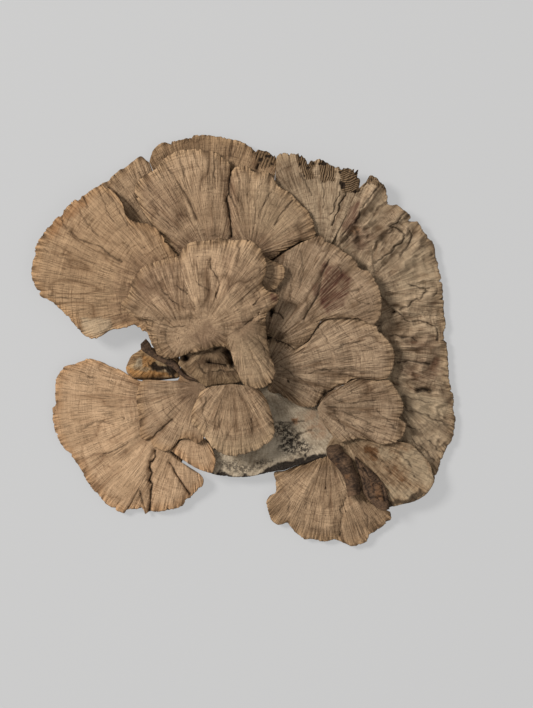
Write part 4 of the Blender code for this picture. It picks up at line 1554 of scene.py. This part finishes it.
@dataclass(frozen=True)
class CentreTier(Tier):
    """The highest caps, and the torn stem that shows under them."""

    tan: FleshFinish = FleshFinish("centre_skin", **TAN)
    torn: FleshFinish = FleshFinish("torn_flesh", light=linear(160, 134, 104), dark=linear(92, 72, 54),
                                    rim=linear(150, 124, 92))

    def centre_cap(self) -> Cap:
        """The highest cap, with an upper part and two lobes below."""
        return Cap(
            name="centre_cap", finish=self.tan, whole=True, seed=11,
            rim=((171, 359), (162.5, 357.5), (156, 354), (150, 341), (145.5, 329), (146, 322.5), (139, 319),
                 (130.5, 316), (120, 307.5), (120.5, 302.5), (126, 297.5), (129, 290), (130.5, 282.5),
                 (139, 270), (144, 265), (160, 260), (170, 257), (177.5, 256), (184, 246), (190, 242),
                 (210, 239), (219, 237), (232.5, 239.5), (251, 239.5), (262.5, 250), (267, 262.5),
                 (265.5, 274), (262.5, 282), (268, 290), (277.5, 293), (280, 296), (278, 302.5),
                 (267.5, 314), (267, 332.5), (268, 342.5), (272.5, 359), (276, 374), (270, 385), (260, 389),
                 (245, 386), (241, 381), (237.5, 372), (234, 364), (230, 351), (219, 347), (205, 351),
                 (190, 354)),
            root=((222, 318),), root_top=(33,),
            rim_top=(25, 22.5, 22, 22, 22.5, 23, 24, 24.5, 25, 25.5, 25.5, 25.5, 26, 27, 28.5, 29.5, 30, 30.5,
                     31, 31, 29, 25),
            thick=(3.4, 1.8), dome=1,
            folds=((((154, 275), (165, 293), (186, 310)), -0.8, 3.0),
                   (((177, 286), (190, 295), (195, 309)), -0.8, 3.0),
                   (((210, 259), (218, 276), (217, 295)), -0.9, 3.0),
                   (((259, 312), (251, 320), (240, 330)), -0.9, 3.0),
                   (((234, 262), (228, 285), (220, 315)), 0.9, 5.0)),
            focus=(204, 328), facing=(0.1, -1.0), rings=0.2, wrinkle=0.75, calm_mm=15.0,
            lobes=(Lobe(((116, 300), (128, 278), (140, 262), (176, 254), (181, 266), (184, 282), (188, 300),
                         (192, 318), (197, 335), (205, 356), (150, 364), (134, 336)), (186, 337),
                        (-1.0, -0.6)),
                   Lobe(((226, 338), (240, 328), (262, 318), (282, 340), (284, 394), (236, 396), (228, 352)),
                        (238, 326), (0.2, 1.0))),
            creases=(Crease(((154, 275), (160, 285), (165, 293), (172.5, 301), (180, 306), (186, 310)), 0.6),
                     Crease(((177.5, 286), (185, 291), (190, 295), (192.5, 302.5), (195, 309)), 0.6),
                     Crease(((210, 259), (211, 267.5), (217.5, 276), (219, 284), (217, 295), (215.5, 300)),
                            0.6),
                     Crease(((196, 281), (204, 287.5), (209, 291)), 0.5),
                     Crease(((260, 296), (257, 301), (254, 306)), 0.6),
                     Crease(((259, 312.5), (251, 320), (245, 325)), 0.7),
                     Crease(((238, 242), (240, 254), (237, 268)), 0.25, 0.4),
                     Crease(((164, 318), (158, 328), (157, 342), (164, 354)), 0.3, 0.3, 0.8),
                     Crease(((171, 321), (166, 330), (166, 342), (172, 353)), 0.3, 0.3, 0.8),
                     Crease(((153, 322), (151, 332), (153, 346)), 0.3, 0.3, 0.8),
                     Crease(((139, 319), (152, 322), (170, 328), (184, 326)), 0.45, 0.4),
                     Crease(((247, 342), (252, 356), (262, 372)), 0.3, 0.35),
                     Crease(((258, 334), (264, 350), (270, 368)), 0.3, 0.35)),
            marks=(Mark("stain_and_shade", ((270, 293), (278, 294), (277, 302), (271, 301)), 0.8, 0.8, 0.8),
                   Mark("stain_and_shade", ((140, 268), (176, 258), (186, 290), (192, 312), (172, 306), (150, 300),
                                  (134, 296)), 4.0, 0.28, 4.0),
                   Mark("stain_and_shade", ((206, 320), (216, 328), (224, 342), (206, 348), (190, 336)), 2.0, 0.35,
                        2.0),
                   Mark("stain_and_shade", ((230, 322), (246, 316), (258, 330), (244, 340)), 3.0, 0.2, 3.0),
                   Mark("stain_and_shade", ((204, 262), (232, 250), (254, 266), (244, 292), (212, 298)), 5.0, 0.16,
                        4.0),
                   Mark("pale", ((234, 340), (262, 328), (278, 374), (258, 390), (240, 380)), 4.0, 0.42,
                        3.0)),
        )

    def little_cap(self) -> Cap:
        """The small round cap below the centre."""
        return Cap(
            name="little_cap", finish=self.tan, seed=12,
            rim=((201, 390), (197.5, 397.5), (194, 405), (191, 412.5), (190.5, 420), (194, 427.5),
                 (200, 434), (207.5, 441), (212.5, 449), (220, 454), (227.5, 456), (237.5, 457),
                 (247.5, 454), (257.5, 450.5), (266, 445), (272.5, 440), (275, 432.5), (274, 422.5),
                 (272, 414), (269, 405), (265, 396), (259, 389)),
            root=((212, 386), (232, 384), (252, 386)), root_top=(24.5, 25.5, 24.5),
            rim_top=(22.5, 21.5, 21, 21, 21, 21, 21.5, 22, 23), thick=(3.4, 1.8), dome=1.6,
            focus=(233, 372), facing=(0.0, 1.0), rings=0.2,
            creases=(Crease(((206, 396), (203, 412), (207, 430)), 0.3, 0.35),
                     Crease(((221, 400), (219, 416), (222, 436)), 0.25, 0.35),
                     Crease(((246, 398), (251, 414), (252, 432)), 0.3, 0.35)),
            marks=(Mark("pale", ((192, 424), (212, 434), (236, 442), (262, 434), (278, 424), (272, 448),
                                 (240, 462), (208, 454)), 4.0, 0.6, 3.0),),
        )

    def tongue_cap(self) -> Cap:
        """The small tongue under the centre cap's right side."""
        return Cap(
            name="tongue_cap", finish=self.tan, seed=13,
            rim=((265.5, 256), (271, 260), (279, 263), (284, 266), (285.5, 272.5), (284, 279), (280, 284),
                 (276, 289), (268, 291)),
            root=((258, 262), (256, 272), (258, 286)), root_top=(21, 21), rim_top=(20.5, 20, 20, 20.5),
            thick=(2.2, 1.5), focus=(250, 273), facing=(1.0, 0.0), teeth=0.3, wrinkle=0.2,
        )

    def base_knob(self) -> Cap:
        """The torn stem, with holes and slits."""
        return TornPiece(
            name="base_knob", finish=self.torn, whole=True, seed=14,
            rim=((186, 302), (215, 298), (245, 297), (259, 308), (259, 340), (258, 372), (236, 382),
                 (216, 383.5), (206.5, 385.2), (197, 377.9), (189, 371.8), (181.5, 366), (179, 362.5),
                 (179.5, 357), (186, 335)),
            root=((210, 358),), root_top=(25.5,),
            rim_top=(22, 23, 23, 22.5, 22.5, 22, 22, 22, 22.5, 23.5, 23, 22), floor=9.4, dome=1,
            folds=((((185, 356), (186, 358)), -4.0, 3.5),
                   (((227, 352), (232, 362)), -4.0, 4.0),
                   (((208, 362), (226, 365)), -2.0, 3.0)),
            focus=(212, 345), facing=(0.0, 1.0), rough=0.7, lump_mm=2.4,
            tucks=(Tuck(((236, 382), (206.5, 385.2), (197, 377.9), (181.5, 366)), 0.8),),
            creases=(Crease(((184, 355), (186, 358)), 1.6, 1.2, 0.5),
                     Crease(((214, 349), (217, 347.5), (220, 347)), 1.0, 0.5, 0.4),
                     Crease(((227.5, 351), (232, 357.5), (232.5, 366)), 1.6, 1.0, 0.4),
                     Crease(((207.5, 362), (217.5, 364), (226, 365.5)), 1.1, 0.6, 0.4),
                     Crease(((196, 360), (200, 368), (206, 374)), 0.6, 0.4),
                     Crease(((212, 372), (220, 370), (230, 372)), 0.5, 0.35)),
        )

    def parts(self) -> tuple[Cap, ...]:
        """The tier's pieces."""
        return (self.centre_cap(), self.little_cap(), self.tongue_cap(), self.base_knob())


@dataclass(frozen=True)
class LowerTier(Tier):
    """The pinkish cap at the lower left with what lies on it, and the cap at the bottom."""

    pink: FleshFinish = FleshFinish("pink_skin", **PINK)
    flap: FleshFinish = FleshFinish("flap_skin", light=linear(188, 158, 126), dark=linear(136, 109, 84),
                                    rim=linear(178, 140, 100), streak=0.6)
    tan: FleshFinish = FleshFinish("bottom_skin", **TAN)

    def lower_left_cap(self) -> Cap:
        """The pinkish cap, cracked from its root."""
        return Cap(
            name="lower_left_cap", finish=self.pink, whole=True, seed=15,
            rim=((137, 380.2), (129, 375.5), (122, 371), (112.5, 366), (97.5, 360), (86, 358), (77.5, 362),
                 (64, 366), (57, 375), (55, 381), (54.5, 395), (51.5, 413), (54, 429), (60, 444),
                 (70, 455.5), (80, 469), (87.5, 484), (97, 495), (104, 503), (115, 510.5), (124, 514),
                 (126, 510.5), (142.5, 511), (145, 515), (150, 512), (157.5, 512.5), (180, 508), (189, 500),
                 (195, 494), (205.5, 482.5), (201, 475), (190, 468), (182.5, 462.5), (192, 452), (201, 440),
                 (201, 420), (200, 396), (180, 385), (150, 383.5)),
            root=((160, 449),), root_top=(10.3,),
            rim_top=(8.5, 6, 4.5, 4.5, 4.5, 4.5, 5, 7, 10, 11.5, 8.5), thick=(3.4, 1.8), dome=0.6,
            folds=((((155, 451), (150, 468), (151, 490), (149, 511)), -1.4, 3.0),
                   (((170, 462), (185, 487), (190, 494)), -1.0, 2.5),
                   (((80, 431), (95, 423), (114, 425)), -0.8, 2.5),
                   (((102, 453), (122, 447), (134, 436)), 0.9, 5.0)),
            focus=(190, 402), facing=(-0.8, 0.6), wrinkle=0.25, teeth=0.9,
            tucks=(Tuck(((122, 371), (129, 375.5), (137, 380.2), (150, 383.5)), 0.25),),
            creases=(Crease(((155, 451), (155.5, 457.5), (153, 461), (150, 461.5), (149.5, 467.5),
                             (152.5, 472.5), (149, 480), (152.5, 484), (151, 490), (151, 497.5),
                             (149.5, 511)), 1.1, 0.65, 0.3),
                     Crease(((140, 491), (142.5, 500), (145, 510), (145.5, 514)), 0.7, 0.45, 0.4),
                     Crease(((170, 462.5), (175, 471), (180, 480), (185, 487.5), (190, 494)), 0.9, 0.5, 0.5),
                     Crease(((171, 452), (178, 457), (187, 464), (196, 470)), 0.9, 0.8, 0.3),
                     Crease(((80, 431), (89, 425.5), (95, 423), (102.5, 422.5), (109, 424), (114, 425)),
                            0.4),
                     Crease(((80, 370), (88, 375), (97, 379)), 0.4),
                     Crease(((102, 453), (115, 450), (122, 447), (128, 442)), 0.4),
                     Crease(((124, 417.5), (124.2, 418.5)), 0.8, 0.45, 0.0)),
            marks=(Mark("stain_and_shade", ((122, 384), (136, 384), (138, 408), (124, 408)), 3.0, 0.18, 3.0),),
        )

    def overlay_cap(self) -> Cap:
        """The flap that lies on the pinkish cap."""
        return Cap(
            name="overlay_cap", finish=self.flap, seed=16,
            rim=((181, 367.2), (179.3, 378.5), (178.3, 380.2), (160, 380.4), (142.5, 380.6), (137.5, 390),
                 (136, 400), (139, 420), (140.5, 437.5), (145, 440.5), (150, 440), (152.5, 446),
                 (157.5, 450), (170, 451), (174.5, 446.5), (177, 441), (185, 439), (190, 440), (197.5, 444),
                 (203, 440), (206, 430)),
            root=((205.6, 386.6),), root_top=(16.6, 16.6),
            rim_top=(16.6, 15.5, 13.5, 12.4, 12.4, 12.6, 13.5, 15.5, 16.5), thick=(3, 1.6), dome=0.3,
            folds=((((151, 438), (165, 427), (175, 415)), -0.7, 3.0),),
            focus=(200, 386), facing=(-0.7, 0.7), teeth=0.4, wrinkle=0.25, calm_mm=6.0,
            tucks=(Tuck(((181, 370), (179.3, 378.5), (178.3, 380.2), (160, 380.4), (146, 380.6)), 0.15),),
            creases=(Crease(((151, 438), (158, 432), (165, 427), (172, 420)), 0.5, 0.5),),
            marks=(Mark("stain_and_shade", ((178, 380), (200, 384), (200, 405), (180, 404)), 4.0, 0.25, 2.0),),
        )

    def wedge_cap(self) -> Cap:
        """The small wedge between the flap and the little cap."""
        return Cap(
            name="wedge_cap", finish=self.pink, seed=17,
            rim=((171, 451), (180, 458), (190, 465), (201, 470.5), (212.5, 473), (214.5, 467.5), (216, 460),
                 (214, 454), (212, 447)),
            root=((180, 441), (190, 436), (204, 438)), root_top=(13, 13), rim_top=(12.4, 12.4, 12.6, 13),
            thick=(2, 1.4), focus=(194, 420), facing=(0.0, 1.0), teeth=0.3, wrinkle=0.2,
        )

    def bottom_cap(self) -> Cap:
        """The cap at the bottom."""
        return Cap(
            name="bottom_cap", finish=self.tan, whole=True, seed=18,
            rim=((296, 467), (285, 471.3), (276, 472.3), (275, 486), (275, 492.5), (269, 496),
                 (265.5, 502.5), (268, 514), (271, 521), (277.5, 525), (287.5, 525), (294.5, 532.5),
                 (305, 540), (314, 540), (322.5, 542.5), (335, 540.5), (347.5, 545), (352.5, 547),
                 (369, 541), (369.5, 536), (380, 529), (392.5, 517), (389, 511.5), (382, 508.5), (372, 504),
                 (362, 490), (352, 472), (341, 461), (328, 456.8), (318, 459.8), (306, 464.8)),
            root=((325, 485),), root_top=(7.5,),
            rim_top=(7.8, 5.5, 4.5, 4.5, 4.5, 4.5, 5, 6.5, 8, 8.8, 7.8), thick=(3.2, 1.8), dome=0.5,
            folds=((((346, 497), (342, 515), (340, 535)), -0.8, 3.0),
                   (((310, 480), (300, 500), (295, 520)), 0.8, 5.0)),
            focus=(328, 448), facing=(0.0, 1.0),
            tucks=(Tuck(((276, 472.3), (285, 471.3), (296, 467), (306, 464.8), (318, 459.8), (328, 456.8),
                         (341, 461)), 0.75),
                   Tuck(((352, 472), (362, 490), (372, 504), (382, 508.5), (386, 510)), 1.0)),
            creases=(Crease(((346, 497), (342, 508), (342, 520), (340, 535)), 0.5),
                     Crease(((326, 487.6), (326, 488.4)), 0.8, 0.4, 0.0),
                     Crease(((346, 510.6), (346, 511.4)), 0.8, 0.4, 0.0),
                     Crease(((284, 490), (290, 500), (288, 512)), 0.3, 0.4),
                     Crease(((362, 508), (368, 520), (366, 532)), 0.4, 0.4)),
        )

    def parts(self) -> tuple[Cap, ...]:
        """The tier's pieces."""
        return (self.lower_left_cap(), self.overlay_cap(), self.wedge_cap(), self.bottom_cap())


@dataclass(frozen=True)
class Ground(Tier):
    """The bark that everything grows on, with its splinters, a twig and a rusty chunk."""

    bark: BarkFinish = BarkFinish("pale_bark", light=linear(198, 181, 156), dark=linear(128, 111, 90),
                                  deep=linear(24, 17, 13), specks=0.35)
    dark: BarkFinish = BarkFinish("dark_bark", light=linear(118, 92, 70), dark=linear(34, 25, 20),
                                  specks=0.5)
    rusty: FleshFinish = FleshFinish("rusty_flesh", light=linear(192, 164, 126), dark=linear(112, 86, 58),
                                     rim=linear(160, 120, 78), stain_and_shade=linear(70, 46, 34),
                                     rust=linear(172, 122, 68), relief_mm=1.2)

    def slab(self) -> Cap:
        """The bark slab."""
        return TornPiece(
            name="bark_slab", finish=self.bark, whole=True, seed=19,
            rim=((209, 472), (226, 476.5), (240, 477.5), (255, 476), (270, 472.3), (276, 470.8), (284, 470),
                 (295, 465.8), (305, 463.6), (317, 458.8), (326, 455.8), (326.5, 450), (334, 437),
                 (334.5, 410), (334, 360), (322, 325), (300, 310), (262, 306), (230, 312), (208, 330),
                 (203, 370), (203, 410), (205, 440)),
            root=((268, 400),), root_top=(8.8,),
            rim_top=(8, 8.6, 8.6, 8.6, 8.8, 8.8, 8.8, 8.8, 8.8, 8.8), floor=0, dome=0.1,
            focus=(268, 380), facing=(0.0, 1.0), spacing=0.5, rough=0.5, lump_mm=5.0,
            tucks=(Tuck(((276, 470.8), (284, 470), (295, 465.8), (305, 463.6), (317, 458.8)), 0.1),
                   Tuck(((324, 456.5), (326, 455.8), (326.5, 450), (330, 443)), 0.6)),
            creases=(Crease(((276, 420), (290, 424), (304, 420)), 0.6, 0.5, 2.0),
                     Crease(((284, 446), (296, 436), (312, 430)), 0.6, 0.5, 2.0)),
            marks=(Mark("stain_and_shade", ((298, 414), (312, 410), (326, 414), (330, 440), (306, 436)), 2.5, 0.6,
                        3.0),
                   Mark("stain_and_shade", ((291, 417), (298, 417), (300, 424), (294, 426)), 0.6, 1.0, 1.5),
                   # Painted shade along the broken, curled lower edge.
                   Mark("shaded_groove", ((203, 470), (216, 471), (233, 474.5), (246, 475.5), (259, 473.5),
                                   (268, 470), (280, 462), (298, 458), (318, 453), (328, 452), (328, 466),
                                   (285, 474), (246, 486), (205, 480)), 0.5, 1.0, 3.0),
                   Mark("rust", ((272, 426), (288, 424), (300, 436), (314, 448), (308, 456), (284, 456)),
                        2.5, 0.85, 3.0),
                   Mark("rust", ((216, 462), (250, 464), (276, 456), (276, 462), (250, 472), (220, 470)),
                        1.0, 0.6, 3.0),
                   Mark("pale", ((262, 432), (290, 434), (296, 452), (270, 462)), 2.5, 0.5, 3.0)),
        )

    def twig(self) -> Cap:
        """The dark twig."""
        return TornPiece(
            name="twig", finish=self.dark, seed=20, way=Way.ALONG_RIBS,
            rim=((330, 445), (340, 444.5), (344, 451), (352, 459), (355, 467.5), (358.5, 476), (360.5, 484),
                 (361, 494)),
            root=((326, 449.5), (327.8, 457.5), (335, 465), (341, 472.5), (345, 480), (348, 497)),
            root_top=(10.8, 10.8), rim_top=(10.8, 10.8), floor=10.0, dome=4.2, spacing=0.3, rough=0.3,
            warm_rim=0.0, teeth=0.2,
            creases=(Crease(((332, 450), (340, 460), (346, 470), (351, 488)), 0.4, 0.3, 1.6),
                     Crease(((338, 447), (346, 458), (351, 468), (355, 482)), 0.4, 0.3, 1.6),
                     Crease(((350, 482), (354, 481), (359, 482)), 0.4, 0.3, 1.0)),
            marks=(Mark("stain_and_shade", ((345, 472), (350, 473), (350, 480), (346, 479)), 0.5, 1.0, 1.0),
                   Mark("stain_and_shade", ((335, 462), (338, 462), (338, 465), (335, 465)), 0.4, 0.9, 0.8)),
        )

    def strip(self) -> Cap:
        """The splintered strip of bark."""
        return TornPiece(
            name="bark_strip", finish=self.dark, seed=21, way=Way.ALONG_RIBS,
            rim=((355, 456), (361, 461), (370, 469), (377.5, 476), (384, 484), (387, 491), (389, 500),
                 (390, 509)),
            root=((355.3, 461), (357.3, 468), (360.3, 476), (362, 484.5), (362.8, 492), (369, 501),
                  (377, 508), (383, 511)),
            root_top=(10.8, 10.8), rim_top=(11, 11), floor=10.1, dome=1.8, spacing=0.3, rough=0.5,
            warm_rim=0.0, teeth=0.4, lump_mm=1.6,
            creases=(Crease(((356, 462), (364, 474), (372, 486), (380, 502)), 0.9, 0.4, 2.0),
                     Crease(((362, 468), (372, 478), (382, 490), (386, 502)), 0.9, 0.4, 2.0),
                     Crease(((359, 472), (365, 484), (370, 496)), 0.9, 0.4, 2.0),
                     Crease(((372, 500), (380, 496), (388, 500)), 0.9, 0.5, 2.0)),
            marks=(Mark("stain_and_shade", ((370, 478), (380, 484), (386, 500), (376, 500)), 0.8, 0.7, 2.0),),
        )

    def sliver(self) -> Cap:
        """The thin dark sliver."""
        return TornPiece(
            name="dark_sliver", finish=self.dark, seed=22, way=Way.ALONG_RIBS,
            rim=((146, 338.5), (150, 343), (153, 349), (158, 354), (165, 358), (173, 359), (178, 364),
                 (182, 370), (188, 375.5), (195.5, 379)),
            root=((140.5, 344), (141, 350), (149, 355.5), (158, 361), (166, 364.5), (173, 368.5), (179, 374),
                  (186, 379), (194.5, 381)),
            root_top=(15.2, 15.4, 18.6, 18.6), rim_top=(15.2, 15.4, 18.6, 18.6), thick=(1, 1), dome=1.2,
            spacing=0.3, rough=0.3, warm_rim=0.0, teeth=0.2,
        )

    def chunk(self) -> Cap:
        """The rusty crumbling chunk."""
        return TornPiece(
            name="rust_chunk", finish=self.rusty, whole=True, seed=23,
            rim=((138, 350.5), (146, 347), (160, 348), (176, 352), (180, 366), (178, 377), (169, 378.5),
                 (160, 379.5), (147.5, 379.5), (135, 378.5), (130, 375), (125.5, 369), (127.5, 362.5),
                 (131, 356)),
            root=((152, 364),), root_top=(12.5,), rim_top=(10.5, 11, 12, 12, 10, 9, 9, 9.5), floor=3,
            dome=0.8, folds=((((135, 374), (158, 374)), 0.9, 3.0), (((142, 362), (156, 364)), -1.2, 3.0)),
            focus=(160, 352), facing=(-0.2, 1.0), spacing=0.35, rough=0.8, lump_mm=1.8,
            tucks=(Tuck(((178, 377), (169, 378.5), (147.5, 379.5), (135, 378.5), (130, 375)), 0.45),),
            marks=(Mark("pale", ((136, 359), (142, 359), (142, 366), (136, 366)), 0.6, 0.9, 1.0),
                   Mark("rust", ((142, 356), (154, 356), (154, 367), (142, 367)), 0.8, 0.9, 1.5),
                   Mark("rust", ((127, 366), (140, 371), (164, 372), (172, 376), (140, 379), (128, 374)),
                        0.6, 0.95, 1.5),
                   # Painted shade in a slit.
                   Mark("shaded_groove", ((171, 363), (175, 365), (176, 379), (172, 379)), 0.4, 1.0, 0.8),
                   # Painted shade in the broken hollow at the right.
                   Mark("shaded_groove", ((148, 362), (160, 364), (174, 366), (177, 374), (164, 372), (152, 370)),
                        0.7, 1.0, 2.5),
                   Mark("pale", ((164, 366), (172, 368), (170, 373), (164, 371)), 0.5, 0.8, 1.0),
                   # Painted shade along the lower edge.
                   Mark("shaded_groove", ((126, 377.5), (176, 377.5), (176, 381), (126, 381)), 0.6, 0.9, 0.6)),
        )

    def parts(self) -> tuple[Cap, ...]:
        """The tier's pieces."""
        return (self.slab(), self.twig(), self.strip(), self.sliver(), self.chunk())


@dataclass(frozen=True)
class Studio:
    """The pale floor, the soft light and the camera straight above."""

    floor_side: float = 4.0
    floor_colour: Colour = (0.16, 0.16, 0.16)
    floor_glow: float = 0.418
    floor_height: float = -0.0001
    sky: float = 0.36
    lens: float = 122.03

    def floor(self) -> None:
        """The floor, a tenth of a millimetre under the object."""
        mesh = bpy.data.meshes.new("floor")
        half = self.floor_side / 2
        turns = ((-half, -half), (half, -half), (half, half), (-half, half))
        mesh.from_pydata([(x, y, self.floor_height) for x, y in turns], [], [(0, 1, 2, 3)])
        piece = bpy.data.objects.new("floor", mesh)
        bpy.context.scene.collection.objects.link(piece)
        graph = Graph("floor_paper")
        graph.shader.inputs["Base Color"].default_value = (*self.floor_colour, 1.0)
        graph.shader.inputs["Roughness"].default_value = 1.0
        graph.shader.inputs["Specular IOR Level"].default_value = 0.0
        graph.shader.inputs["Emission Color"].default_value = (1.0, 1.0, 1.0, 1.0)
        graph.shader.inputs["Emission Strength"].default_value = self.floor_glow
        piece.data.materials.append(graph.material)

    def lamp(self, name: str, place: tuple[float, float, float], side: float, power: float) -> None:
        """A square soft light that points at the object.

        Args:
            name: its name.
            place: where it stands, in metres.
            side: its side in metres.
            power: its power in watts.
        """
        data = bpy.data.lights.new(name, "AREA")
        data.size = side
        data.energy = power
        data.color = (1.0, 0.985, 0.965)
        lamp = bpy.data.objects.new(name, data)
        lamp.location = place
        away = math.hypot(place[0], place[1])
        lamp.rotation_euler = (math.atan2(away, place[2]), 0.0, math.atan2(place[0], -place[1]))
        bpy.context.scene.collection.objects.link(lamp)

    def light(self) -> None:
        """A main light from the upper left, a weak one opposite and an even sky."""
        self.lamp("main_light", (-2.2, 1.1, 2.3), 0.9, 120.0)
        self.lamp("fill_light", (1.8, -1.2, 3.0), 2.0, 14.0)
        world = bpy.data.worlds.new("studio")
        bpy.context.scene.world = world
        world.use_nodes = True
        background = world.node_tree.nodes["Background"]
        background.inputs["Color"].default_value = (1.0, 1.0, 1.0, 1.0)
        background.inputs["Strength"].default_value = self.sky

    def camera(self) -> None:
        """The camera, straight above, with the same view as the drawing sheet."""
        data = bpy.data.cameras.new("camera")
        data.lens = self.lens
        data.sensor_width = 36.0
        data.sensor_fit = "AUTO"
        data.clip_start = 0.05
        data.clip_end = 20.0
        camera = bpy.data.objects.new("camera", data)
        camera.location = ((EYE[0] - MIDDLE[0]) * STEP_MM * 0.001, (MIDDLE[1] - EYE[1]) * STEP_MM * 0.001,
                           EYE_HEIGHT_MM * 0.001)
        bpy.context.scene.collection.objects.link(camera)
        bpy.context.scene.camera = camera

    def build(self) -> None:
        """Sets up the stage and the plain view of colours."""
        self.floor()
        self.light()
        self.camera()
        bpy.context.scene.view_settings.view_transform = "Standard"


def write_sizes() -> None:
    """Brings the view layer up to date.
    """
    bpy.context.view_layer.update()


def main() -> None:
    """Builds every piece in its place, then the stage."""
    logging.basicConfig(level=logging.INFO, format="%(message)s")
    made = []
    for tier in (Ground(), RightTier(), UpperTier(), LowerTier(), MiddleTier(), CentreTier()):
        made += tier.build()
    Studio().build()
    write_sizes()
    triangles = sum(len(piece.data.loops) - 2 * len(piece.data.polygons) for piece in made)
    log.info("%d pieces, %d triangles", len(made), triangles)


if __name__ == "__main__":
    main()
